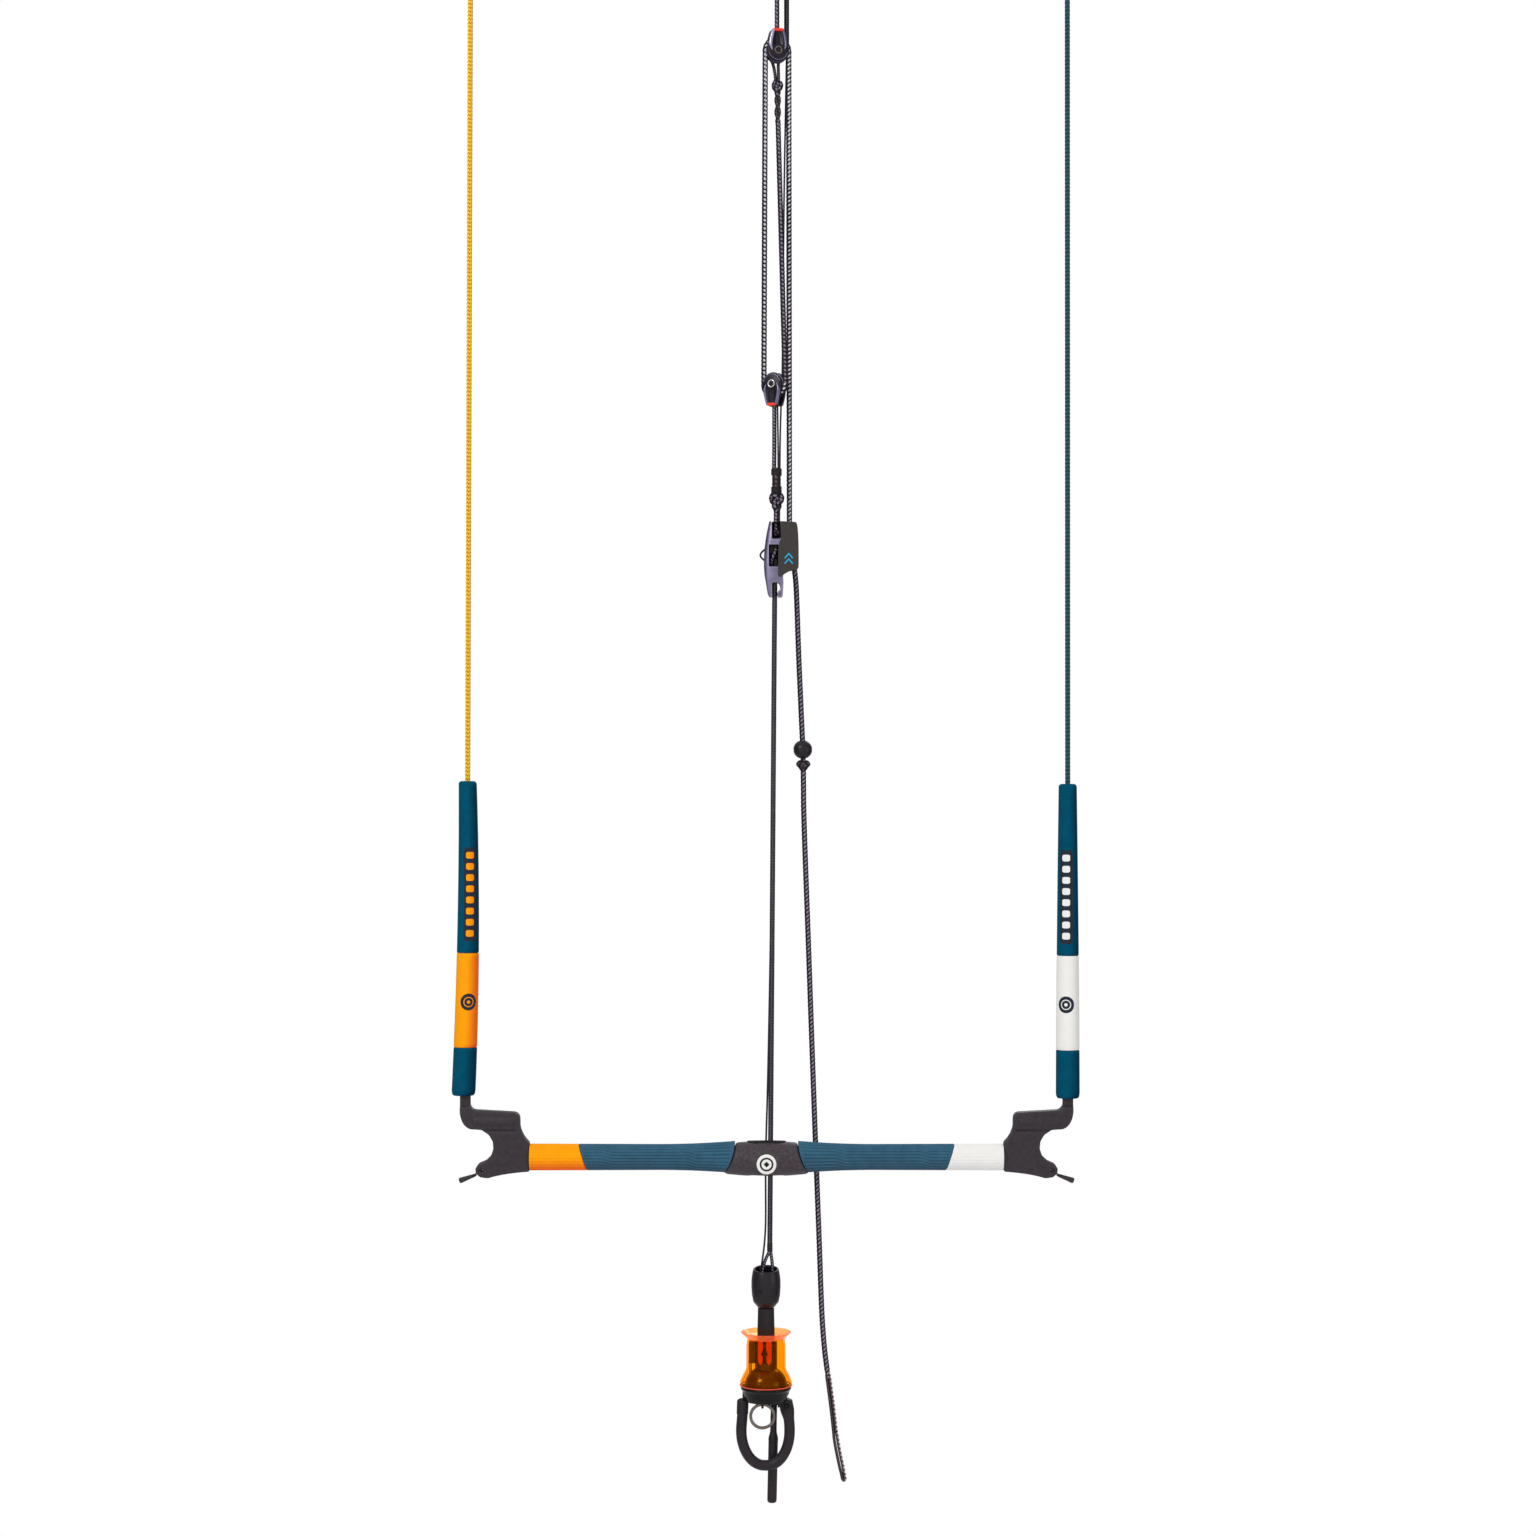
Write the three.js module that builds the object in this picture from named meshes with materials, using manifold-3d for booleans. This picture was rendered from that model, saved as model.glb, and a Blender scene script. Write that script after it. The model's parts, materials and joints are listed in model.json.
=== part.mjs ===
// A kitesurf control bar hung up by its front line: bar with winders and floats, leader lines,
// three-part trim tackle with a cleat, depower line, swivel, quick release and harness loop.
// Millimetres. +Z runs up the lines to the kite, +X along the bar, +Y away from the rider's view.
// The origin is where the harness hook sits: inside the bottom of the loop.
import * as THREE from 'three';
import { mergeVertices } from 'three/addons/utils/BufferGeometryUtils.js';
import Module from 'manifold-3d';

const wasm = await Module();
wasm.setup();

const degree = Math.PI / 180;
const gap = 0.3;                      // clearance between pieces that rest on each other
const reach = 120;                    // larger than any piece that a cutting block trims

// Driving dimensions.
const lineTopZ = 1380;                // cut ends of all the lines that run to the kite
const barX = 0.5;
const barZ = 272.5;
const gripEnd = 212.9;                // half the bar over its grip tips
const gripWaist = 97;                 // where the grip is thinnest
const gripWaistRadius = 11.6;
const gripEndRadius = 12;
const insertHalfLength = 31.2;
const insertRadius = 16;
const insertDrop = 1.5;               // the centre moulding hangs a little below the bar's axis
const tubeRadius = 8;
const tubeBore = 6.6;
const guideRadius = 10;               // ball bush that the lines run through
const stemOffset = 270.9;             // floats stand this far from the bar's middle
const stemTopZ = 328.5;
const floatFootZ = 326.5;
const floatLength = 282.5;
const floatFootRadius = 10.7;
const floatTopRadius = 8.1;
const leaderRadius = 2;
const ropeRadius = 2.1;               // trim rope
const sheaveRopeRadius = 10.8;        // from a sheave's axle to the middle of its rope
const upperAxle = new THREE.Vector3(9.9, 0, 1267);
const upperYaw = 12 * degree;
const lowerAxle = new THREE.Vector3(7.65, 0, 967.5);
const lowerYaw = -28 * degree;
const cleatTopZ = 844;
const cleatFootZ = 775.8;
const ropeEntry = new THREE.Vector3(21.2, 17.5, 843);      // trim rope into the cleat
const ropeExit = new THREE.Vector3(26.2, 19, 800.5);       // and out of it
const ballCentre = new THREE.Vector3(33.4, 26, 639.2);
const ballRadius = 8.6;
const depowerTop = new THREE.Vector3(7.9, 0, 786);
const depowerFork = new THREE.Vector3(3.4, 0, 189);        // where the line parts into two legs
const barrelTopZ = 174.2;
const barrelFootZ = 137.3;
const stemRadius = 7.4;
const baseTopZ = 67;
const baseFootZ = 53.2;
const loopTubeRadius = 4.8;
const loopHinge = new THREE.Vector3(18, 0, 50);
const retainerHinge = new THREE.Vector3(7.2, 10.4, 48);
const ringRadius = 10.5;
const ringWireRadius = 1.35;
const ringHang = new THREE.Vector3(-3.2, -8, 51.5);        // top of the ring, inside its lug

// Finishes.
const finish = (color, roughness, metalness = 0) =>
  new THREE.MeshStandardMaterial({ color, roughness, metalness });
const blackRope = finish(0x1c191d, 0.8);
const blackPlastic = finish(0x2b262b, 0.55);
const darkPlastic = finish(0x4b4448, 0.6);
const coverPlastic = finish(0x464240, 0.7);
const tealFoam = finish(0x00556f, 0.85);
const gripFoam = finish(0x2d5f78, 0.9);
const orangeFoam = finish(0xff8c00, 0.85);
const whiteFoam = finish(0xf2f0ec, 0.85);
const orangeRope = finish(0xf58a10, 0.8);
const tealRope = finish(0x3c6470, 0.8);
const steel = finish(0xb9b9b6, 0.3, 1);
const anodised = finish(0x695f82, 0.45, 0.8);
const aluminium = finish(0x9a9aa0, 0.4, 0.9);
const redPlastic = finish(0xff3214, 0.5);
const amberPlastic = finish(0xff9600, 0.25);
const grabFoam = finish(0x5a5256, 0.8);

// Shape helpers -----------------------------------------------------------------------------

function toSolid(geometry) {
  const bare = geometry.clone();
  bare.deleteAttribute('normal');
  bare.deleteAttribute('uv');
  const merged = mergeVertices(bare, 1e-4);
  const index = merged.index.array;
  const kept = [];
  for (let i = 0; i < index.length; i += 3) {
    const [a, b, c] = [index[i], index[i + 1], index[i + 2]];
    if (a !== b && b !== c && c !== a) {
      kept.push(a, b, c);
    }
  }
  return new wasm.Manifold(new wasm.Mesh({
    numProp: 3,
    vertProperties: Float32Array.from(merged.attributes.position.array),
    triVerts: Uint32Array.from(kept),
  }));
}

function toGeometry(solid) {
  const mesh = solid.getMesh();
  const geometry = new THREE.BufferGeometry();
  geometry.setAttribute('position', new THREE.BufferAttribute(mesh.vertProperties, 3));
  geometry.setIndex(new THREE.BufferAttribute(mesh.triVerts, 1));
  geometry.computeVertexNormals();
  return geometry;
}

function combine(method, first, others) {
  let solid = toSolid(first);
  for (const other of others) {
    solid = solid[method](toSolid(other));
  }
  return toGeometry(solid);
}

const cut = (body, ...tools) => combine('subtract', body, tools);
const join = (body, ...others) => combine('add', body, others);
const keepInside = (body, ...limits) => combine('intersect', body, limits);

// A flat outline in X and Z, given its thickness along Y about the middle plane.
function plate(shape, thickness, curveSegments = 6) {
  const geometry = new THREE.ExtrudeGeometry(shape, { depth: thickness, bevelEnabled: false, curveSegments });
  geometry.rotateX(Math.PI / 2);
  geometry.translate(0, thickness / 2, 0);
  return geometry;
}

// A profile of [radius, height] points turned about Z, listed upwards on the outside.
function turned(profile, segments = 20) {
  const points = profile.map(([radius, height]) => new THREE.Vector2(radius, height));
  const geometry = new THREE.LatheGeometry(points, segments);
  geometry.rotateX(Math.PI / 2);
  return geometry;
}

// The same about X: the heights become places along +X.
function turnedAlongX(profile, segments = 20) {
  const geometry = turned(profile, segments);
  geometry.rotateY(Math.PI / 2);
  return geometry;
}

// The same about Y.
function turnedAlongY(profile, segments = 20) {
  const geometry = turned(profile, segments);
  geometry.rotateX(-Math.PI / 2);
  return geometry;
}

function cylinder(radius, length, axis, segments = 16) {
  const geometry = new THREE.CylinderGeometry(radius, radius, length, segments);
  if (axis === 'x') {
    geometry.rotateZ(Math.PI / 2);
  }
  if (axis === 'z') {
    geometry.rotateX(Math.PI / 2);
  }
  return geometry;
}

function box(minimum, maximum) {
  const geometry = new THREE.BoxGeometry(
    maximum[0] - minimum[0], maximum[1] - minimum[1], maximum[2] - minimum[2]);
  geometry.translate(
    (minimum[0] + maximum[0]) / 2, (minimum[1] + maximum[1]) / 2, (minimum[2] + maximum[2]) / 2);
  return geometry;
}

// A block filling everything beyond a nearly upright plane that crosses the X axis at x.
function beyond(x, lean, side) {
  const geometry = new THREE.BoxGeometry(2 * reach, reach, reach);
  geometry.translate(side * reach, 0, 0);
  geometry.rotateY(lean);
  geometry.translate(x, 0, 0);
  return geometry;
}

// An arc of an ellipse in the XZ plane, turned anticlockwise as seen from -Y.
class Arc extends THREE.Curve {
  constructor(centre, radiusX, radiusZ, start, end) {
    super();
    Object.assign(this, { centre, radiusX, radiusZ, start, end });
  }

  getPoint(t, target = new THREE.Vector3()) {
    const angle = this.start + (this.end - this.start) * t;
    return target.set(
      this.centre.x + this.radiusX * Math.cos(angle),
      this.centre.y,
      this.centre.z + this.radiusZ * Math.sin(angle));
  }
}

class Helix extends THREE.Curve {
  constructor(radius, fromZ, toZ, turns) {
    super();
    Object.assign(this, { radius, fromZ, toZ, turns });
  }

  getPoint(t, target = new THREE.Vector3()) {
    const angle = 2 * Math.PI * this.turns * t;
    return target.set(
      this.radius * Math.cos(angle),
      this.radius * Math.sin(angle),
      this.fromZ + (this.toZ - this.fromZ) * t);
  }
}

// A rope of polygonal section with flats facing its frame's axes; radius is to the flats.
function rope(curve, radius, steps, sides = 8) {
  const corner = radius / Math.cos(Math.PI / sides);
  const section = new THREE.Shape();
  for (let i = 0; i < sides; i += 1) {
    const angle = (i + 0.5) * 2 * Math.PI / sides;
    section[i === 0 ? 'moveTo' : 'lineTo'](corner * Math.cos(angle), corner * Math.sin(angle));
  }
  section.closePath();
  return new THREE.ExtrudeGeometry(section, { steps, bevelEnabled: false, extrudePath: curve });
}

const straightRope = (from, to, radius, sides = 8) =>
  rope(new THREE.LineCurve3(from, to), radius, 1, sides);

function curvedRope(points, radius, steps, sides = 8) {
  const curve = new THREE.CatmullRomCurve3(points.map(([x, y, z]) => new THREE.Vector3(x, y, z)));
  return rope(curve, radius, steps, sides);
}

function knot(radius, height, x, y, z) {
  const geometry = new THREE.SphereGeometry(radius, 10, 6);
  geometry.scale(1, 1, height / (2 * radius));
  geometry.translate(x, y, z);
  return geometry;
}

function part(parent, name, geometry, material) {
  const mesh = new THREE.Mesh(geometry, material);
  mesh.name = name;
  parent.add(mesh);
  return mesh;
}

function place(parent, x, y, z) {
  const group = new THREE.Group();
  group.position.set(x, y, z);
  parent.add(group);
  return group;
}

// Blocks ------------------------------------------------------------------------------------
// A block hangs from its thimble. Its own frame has the axle along Y at the origin and the
// thimble above it. The lower block is the same one turned upside down.

const sheaveHalfWidth = 3;
const sheaveRimRadius = 10.6;
const cheekInside = 3.3;
const cheekOutside = 5.5;
const axleRadius = 2.4;
const headTop = 20.4;
const headHalfWidth = 5.7;

function sheave() {
  const groove = sheaveRopeRadius - ropeRadius - gap;
  const grooveMouth = ropeRadius + 0.6;
  const grooveFloor = 1.4;
  return turnedAlongY([
    [axleRadius + gap, -sheaveHalfWidth],
    [sheaveRimRadius, -sheaveHalfWidth],
    [sheaveRimRadius, -grooveMouth],
    [groove, -grooveFloor],
    [groove, grooveFloor],
    [sheaveRimRadius, grooveMouth],
    [sheaveRimRadius, sheaveHalfWidth],
    [axleRadius + gap, sheaveHalfWidth],
    [axleRadius + gap, -sheaveHalfWidth],
  ], 24);
}

function cheek() {
  const shoulder = 9.3;
  const outline = new THREE.Shape();
  outline.moveTo(-headHalfWidth, headTop);
  outline.lineTo(headHalfWidth, headTop);
  outline.quadraticCurveTo(shoulder, 10, shoulder, 0);
  outline.absarc(0, 0, shoulder, 0, -Math.PI, true);
  outline.quadraticCurveTo(-shoulder, 10, -headHalfWidth, headTop);
  const hole = new THREE.Path();
  hole.absarc(0, 0, axleRadius + gap, 0, 2 * Math.PI, false);
  outline.holes.push(hole);
  return plate(outline, cheekOutside - cheekInside);
}

// The axle runs on behind the rear cheek as a post for the becket.
function axlePin() {
  const flange = 3.9;
  const shank = cheekOutside + gap;
  const postEnd = 11;
  return turnedAlongY([
    [0, -shank - 1],
    [flange, -shank - 1],
    [flange, -shank],
    [axleRadius, -shank],
    [axleRadius, postEnd],
    [flange, postEnd],
    [flange, postEnd + 1],
    [0, postEnd + 1],
  ], 16);
}

function thimble(holdRadius) {
  const halfWidth = cheekInside - gap;
  const foot = sheaveRopeRadius + ropeRadius + 0.8;
  const block = box([-4.4, -halfWidth, foot], [4.4, halfWidth, headTop - 0.4]);
  const seat = cylinder(holdRadius + gap, reach, 'z');
  seat.translate(0, 0, reach / 2 + foot + 1.6);
  return cut(block, seat);
}

function addBlock(prefix, parent, axle, yaw, inverted, holdRadius) {
  const swung = place(parent, axle.x, axle.y, axle.z);
  swung.rotation.z = yaw;
  const block = place(swung, 0, 0, 0);
  block.rotation.y = inverted ? Math.PI : 0;
  const cheekMiddle = (cheekInside + cheekOutside) / 2;
  part(block, `${prefix}_block_front_cheek`, cheek(), darkPlastic).position.y = -cheekMiddle;
  part(block, `${prefix}_block_rear_cheek`, cheek(), darkPlastic).position.y = cheekMiddle;
  part(block, `${prefix}_block_pin`, axlePin(), steel);
  part(block, `${prefix}_block_thimble`, thimble(holdRadius), redPlastic);
  part(block, `${prefix}_sheave`, sheave(), aluminium);
  const turn = new Arc(new THREE.Vector3(), sheaveRopeRadius, sheaveRopeRadius, 0, Math.PI);
  const turnName = inverted ? 'tackle_turn_bottom' : 'tackle_turn_top';
  part(block, turnName, rope(turn, ropeRadius, 14), blackRope);
}

// Where the rope leaves a sheave, on its -X or +X side.
function tangent(axle, yaw, side, height) {
  return new THREE.Vector3(
    axle.x + side * sheaveRopeRadius * Math.cos(yaw),
    axle.y + side * sheaveRopeRadius * Math.sin(yaw),
    axle.z + height);
}

// Front line and trim tackle ----------------------------------------------------------------

const frontLineRadius = 2.1;
const becketFootZ = 1205;
const safetyRadius = 0.75;             // its thin lower part
const safetyTopRadius = 1.9;

function frontLine() {
  const foot = upperAxle.z + sheaveRopeRadius + ropeRadius + 3;
  return straightRope(
    new THREE.Vector3(upperAxle.x, 0, foot), new THREE.Vector3(upperAxle.x, 0, lineTopZ), frontLineRadius);
}

// The rope's standing end: an eye over the post of the upper axle, a knot and a splice.
function becketLine() {
  const eye = curvedRope([
    [-0.2, 0.4, -24],
    [-1.8, 5, -15],
    [-3.8, 8.2, -8],
    [-4.3, 8.6, -1],
    [-3, 8.6, 2.9],
    [0, 8.6, 4.3],
    [3, 8.6, 2.9],
    [4.3, 8.6, -1],
    [3.8, 8.2, -8],
    [2, 5, -15],
    [0.8, 0.4, -24],
  ], 1.4, 22, 6);
  const tied = knot(5.4, 13, 0.3, 0, -27);
  const splice = straightRope(
    new THREE.Vector3(0.9, 0, becketFootZ - upperAxle.z), new THREE.Vector3(0.3, 0, -31), 2.8);
  const line = join(tied, eye, splice);
  line.rotateZ(upperYaw);
  line.translate(upperAxle.x, upperAxle.y, upperAxle.z);
  return line;
}

function addTackleLegs(parent) {
  const legs = {
    tackle_left_leg: [
      tangent(upperAxle, upperYaw, -1, -gap),
      tangent(lowerAxle, lowerYaw, -1, gap)],
    tackle_middle_leg: [
      new THREE.Vector3(upperAxle.x + 0.9, 0, becketFootZ - gap),
      tangent(lowerAxle, lowerYaw, 1, gap)],
    tackle_right_leg: [
      tangent(upperAxle, upperYaw, 1, -gap),
      ropeEntry.clone().setZ(ropeEntry.z + gap)],
  };
  for (const [name, [top, foot]] of Object.entries(legs)) {
    part(parent, name, straightRope(foot, top, ropeRadius), blackRope);
  }
}

// The safety line runs down behind the tackle to the cleat.
const safetyAtAxle = new THREE.Vector3(18.6, 11, upperAxle.z);

function addSafetyTop(parent) {
  const top = new THREE.Vector3(safetyAtAxle.x, safetyAtAxle.y, lineTopZ);
  part(parent, 'safety_line_top', straightRope(safetyAtAxle, top, safetyTopRadius), blackRope);
}

function safetyTackle() {
  return curvedRope([
    [safetyAtAxle.x, safetyAtAxle.y, safetyAtAxle.z - gap],
    [16.5, 12, 1150],
    [14.4, 14, lowerAxle.z],
    [13.2, 12, 940],
    [12.6, 10, 905],
    [12, 9.4, cleatTopZ + gap],
  ], safetyRadius, 16, 6);
}

// Cleat -------------------------------------------------------------------------------------

const cleatHalfDepth = 7;
const jawBack = 24;

function cleatBody() {
  const outline = new THREE.Shape();
  outline.moveTo(2.9, cleatTopZ);
  outline.quadraticCurveTo(-3.6, 818, -1.4, 796);
  outline.lineTo(1.6, 778.5);
  outline.lineTo(3.2, cleatFootZ);
  outline.lineTo(14, cleatFootZ);
  outline.lineTo(15.5, 793);
  outline.lineTo(15.5, cleatTopZ);
  outline.closePath();
  const body = plate(outline, 2 * cleatHalfDepth);
  const jaws = box([15, -cleatHalfDepth, 801], [28.9, jawBack, cleatTopZ]);
  const channel = box([18.4, 14.6, 700], [reach, 21.8, 900]);
  const upperPocket = box([5.4, -reach, 828.2], [13.3, 3, 900]);
  const lowerPocket = box([2.5, -reach, 803.3], [11.4, 3, 823]);
  const fork = box([5, -reach, 700], [10.8, reach, 789]);
  const window = box([10, -reach, 781], [13.4, reach, 788.4]);
  return cut(join(body, jaws), channel, upperPocket, lowerPocket, fork, window);
}

function cleatCover() {
  const outline = new THREE.Shape();
  outline.moveTo(12.6, 843.8);
  outline.lineTo(26.4, 843);
  outline.quadraticCurveTo(27.8, 842.6, 28.4, 838);
  outline.quadraticCurveTo(29.6, 828, 29.3, 803);
  outline.quadraticCurveTo(29, 800, 26, 800.2);
  outline.quadraticCurveTo(18.4, 798.6, 13.6, 793.8);
  outline.lineTo(10.8, 794.8);
  outline.lineTo(11.1, 819.5);
  outline.quadraticCurveTo(11.6, 825, 13.6, 828.6);
  outline.closePath();
  const thickness = 2.4;
  const cover = plate(outline, thickness);
  cover.translate(0, -cleatHalfDepth - gap - thickness / 2, 0);
  return cover;
}

// From the lower block's thimble: an eye, whipping, a knot, and a stopper in the cleat's pocket.
function blockTether() {
  const eyeTop = lowerAxle.z - sheaveRopeRadius - ropeRadius - 3;
  const left = straightRope(
    new THREE.Vector3(6.6, 0, 888), new THREE.Vector3(lowerAxle.x - 1, 0, eyeTop), 1.5, 6);
  const right = straightRope(
    new THREE.Vector3(11, 0, 888), new THREE.Vector3(lowerAxle.x + 1, 0, eyeTop), 1.5, 6);
  const whipping = cylinder(4.3, 22, 'z', 12);
  whipping.translate(9.4, 0, 880);
  const tied = knot(6, 15, 9.7, 0, 863.5);
  const line = straightRope(new THREE.Vector3(9.4, -1, 834), new THREE.Vector3(9.6, 0, 862), 2);
  const stopper = knot(3.3, 6.6, 9.4, -1, 833.5);
  return join(whipping, left, right, tied, line, stopper);
}

// Depower line, swivel ----------------------------------------------------------------------

function depowerLine() {
  const main = straightRope(depowerFork, depowerTop, 2);
  const leftLeg = curvedRope([
    [depowerFork.x - 0.2, 0, 192],
    [0.4, 0, 184],
    [-2.4, 0, 174],
    [-4.2, 0, 162],
  ], 1.4, 8, 6);
  const rightLeg = curvedRope([
    [depowerFork.x + 0.2, 0, 192],
    [4.9, 0, 184],
    [5.7, 0, 174],
    [5, 0, 162],
  ], 1.4, 8, 6);
  return join(main, leftLeg, rightLeg);
}

// Down behind the cleat with a slack bight on its left, then beside the depower line: behind it
// at the top, on its left under the bar.
function safetyLine() {
  return curvedRope([
    [12, 9.4, cleatTopZ - gap],
    [10, 9.4, 828],
    [2, 9.2, 815.5],
    [-4.4, 8.6, 812],
    [-4.8, 8.6, 806],
    [2, 9.2, 801],
    [7.4, 9.4, 790],
    [7.6, 4.4, 770],
    [6.5, 3, 700],
    [5.9, 3, 600],
    [4.9, 3, 520],
    [1.6, 2.6, 342],
    [-0.3, 2, 272],
    [-0.6, 2, 206],
    [-2.4, 2.8, 186],
    [-5.4, 3.4, 166],
  ], safetyRadius, 48, 5);
}

function swivelCover() {
  return turned([
    [4.6, barrelFootZ],
    [7.4, barrelFootZ],
    [9.6, 140.4],
    [12.3, 147],
    [13.2, 156],
    [12.9, 165],
    [11.2, barrelTopZ],
    [9.8, barrelTopZ],
    [10.9, 165],
    [11.2, 156],
    [10.2, 147],
    [8.6, 141.4],
    [4.6, 141.4],
    [4.6, barrelFootZ],
  ], 18);
}

// The non-turning head that the depower line is looped through.
function swivelHead() {
  const head = turned([[0, 146.4], [7.6, 146.4], [8.4, 152], [7.6, 157], [0, 157]], 16);
  const slot = box([-reach, -1.8, 153], [reach, 1.8, 160]);
  return cut(head, slot);
}

// Bar ---------------------------------------------------------------------------------------

const tipPlane = 164.8;               // joint between grip and grip tip, at the bar's axis
const tipLean = 17 * degree;
const insertLean = 15.7 * degree;
const slotHalfDepth = 5.5;
const slotMouthHalfWidth = 17;
const slotThroatHalfWidth = 7.4;

function gripRadius(x) {
  const toMiddle = Math.max(0, (gripWaist - x) / (gripWaist - insertHalfLength));
  const toEnd = Math.max(0, (x - gripWaist) / (gripEnd - gripWaist));
  return gripWaistRadius + 2.6 * toMiddle ** 2 + (gripEndRadius - gripWaistRadius) * toEnd;
}

// The soft covering from one x to another; x counts outwards from the bar's middle.
function gripBlank(from, to) {
  const steps = 4;
  const outside = [];
  for (let i = 0; i <= steps; i += 1) {
    const x = from + (to - from) * i / steps;
    outside.push([gripRadius(x), x]);
  }
  const bore = tubeRadius + gap;
  return turnedAlongX([[bore, from], ...outside, [bore, to], [bore, from]], 16);
}

function grip(side) {
  const blank = gripBlank(insertHalfLength - 8, tipPlane + 8);
  const grown = cut(blank, beyond(insertHalfLength + gap, -insertLean, -1), beyond(tipPlane, tipLean, 1));
  grown.rotateZ(side < 0 ? Math.PI : 0);
  return grown;
}

function gripTip(side) {
  const blank = gripBlank(tipPlane - 8, gripEnd);
  const trimmed = cut(blank, beyond(tipPlane + gap, tipLean, -1));
  trimmed.rotateZ(side < 0 ? Math.PI : 0);
  return trimmed;
}

function barTube(side) {
  const tube = turnedAlongX([
    [tubeBore, 14.4],
    [tubeRadius, 14.4],
    [tubeRadius, gripEnd - 1],
    [tubeBore, gripEnd - 1],
    [tubeBore, 14.4],
  ], 16);
  tube.rotateZ(side < 0 ? Math.PI : 0);
  return tube;
}

function centreInsert() {
  const end = insertHalfLength + 8;
  const blank = turnedAlongX([[0, -end], [13.4, -end], [insertRadius - 0.6, -18], [insertRadius, 0],
    [insertRadius - 0.6, 18], [13.4, end], [0, end]], 20);
  blank.translate(0, 0, -insertDrop);
  const cavity = new THREE.SphereGeometry(guideRadius + 0.6, 16, 12);
  const slotShape = new THREE.Shape();
  const mouthZ = 20;
  const mouth = slotThroatHalfWidth + (slotMouthHalfWidth - slotThroatHalfWidth) * mouthZ / insertRadius;
  slotShape.moveTo(slotThroatHalfWidth, 0);
  slotShape.lineTo(mouth, mouthZ);
  slotShape.lineTo(-mouth, mouthZ);
  slotShape.lineTo(-slotThroatHalfWidth, 0);
  slotShape.lineTo(-mouth, -mouthZ);
  slotShape.lineTo(mouth, -mouthZ);
  slotShape.closePath();
  const sockets = [1, -1].map((side) => {
    const socket = cylinder(tubeRadius + gap, reach, 'x', 16);
    socket.translate(side * (14 + reach / 2), 0, 0);
    return socket;
  });
  const badgeSeat = cylinder(badgeRadius + gap, 20, 'y', 16);
  badgeSeat.translate(0, -badgeBackY - 10, badgeZ);
  return cut(blank, cavity, plate(slotShape, 2 * slotHalfDepth), ...sockets, badgeSeat,
    beyond(insertHalfLength, -insertLean, 1), beyond(-insertHalfLength, insertLean, -1));
}

const badgeRadius = 9;
const badgeBackY = 13.6;              // the badge's seat, in front of the bar's axis
const badgeZ = -4.8;

function centreBadge() {
  const badge = cylinder(badgeRadius, 1.7, 'y', 16);
  badge.translate(0, -badgeBackY - gap - 0.85, badgeZ);
  return badge;
}

// The ball-shaped bush turns in the insert and slides on the two lines that pass through it.
function lineGuideBush() {
  const ball = new THREE.SphereGeometry(guideRadius, 16, 10);
  const flat = 6.5;
  const bore = new THREE.Shape();
  const boreRadius = 4.5;
  const boreReach = 1.7;
  bore.absarc(boreReach, 0, boreRadius, -Math.PI / 2, Math.PI / 2, false);
  bore.absarc(-boreReach, 0, boreRadius, Math.PI / 2, 3 * Math.PI / 2, false);
  const boreTool = new THREE.ExtrudeGeometry(bore, { depth: 40, bevelEnabled: false, curveSegments: 6 });
  boreTool.translate(0, 0, -20);
  return cut(keepInside(ball, box([-reach, -reach, -flat], [reach, reach, flat])), boreTool);
}

// Winder outline for the +X end, in the bar's frame: soft neck, block, hook-shaped horn.
function winderOutline(side) {
  const outline = new THREE.Shape();
  const at = (x, z) => [side * x, z];
  const neckIn = stemOffset - 4.65;
  const neckOut = stemOffset + 4.65;
  outline.moveTo(...at(neckIn, stemTopZ - barZ));
  outline.lineTo(...at(neckIn, 48));
  outline.quadraticCurveTo(...at(neckIn, 42.6), ...at(260, 42.4));
  outline.lineTo(...at(227, 40.6));
  outline.quadraticCurveTo(...at(221.6, 40), ...at(221.6, 34));
  outline.lineTo(...at(221.6, 28));
  outline.quadraticCurveTo(...at(219.6, 19), ...at(gripEnd + gap, 13.4));
  outline.lineTo(...at(gripEnd + gap, -12.6));
  outline.quadraticCurveTo(...at(238, -14.4), ...at(250, -18.6));
  outline.bezierCurveTo(...at(264, -20), ...at(266.5, -5.6), ...at(252.2, -3));
  outline.bezierCurveTo(...at(242, 3), ...at(242.6, 20), ...at(256, 24.6));
  outline.lineTo(...at(266, 25.4));
  outline.quadraticCurveTo(...at(274, 28), ...at(neckOut, 40));
  outline.lineTo(...at(neckOut, stemTopZ - barZ));
  outline.closePath();
  return outline;
}

function winder(side) {
  const body = plate(winderOutline(side), 14, 5);
  const neckTrim = [1, -1].map((face) => box(
    [-reach * 3, face > 0 ? 4.65 : -reach, 46], [reach * 3, face > 0 ? reach : -4.65, reach]));
  const spigot = cylinder(tubeBore - gap, 22, 'x', 16);
  spigot.translate(side * (gripEnd - 6), 0, 0);
  return join(cut(body, ...neckTrim), spigot);
}

// Toggle on the keeper cord that holds wound lines on the winder's horn.
const keeperHinge = [262.4, -16.4];
const keeperLength = 15;

function keeperToggle(side) {
  const toggle = turnedAlongX([[0, 0.6], [1.6, 1.2], [2.7, 5], [2, 11], [0, keeperLength]], 10);
  toggle.rotateY(20 * degree);
  toggle.rotateZ(side < 0 ? Math.PI : 0);
  toggle.translate(side * keeperHinge[0], 0, keeperHinge[1]);
  return toggle;
}

// Floats and leader lines -------------------------------------------------------------------

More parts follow.
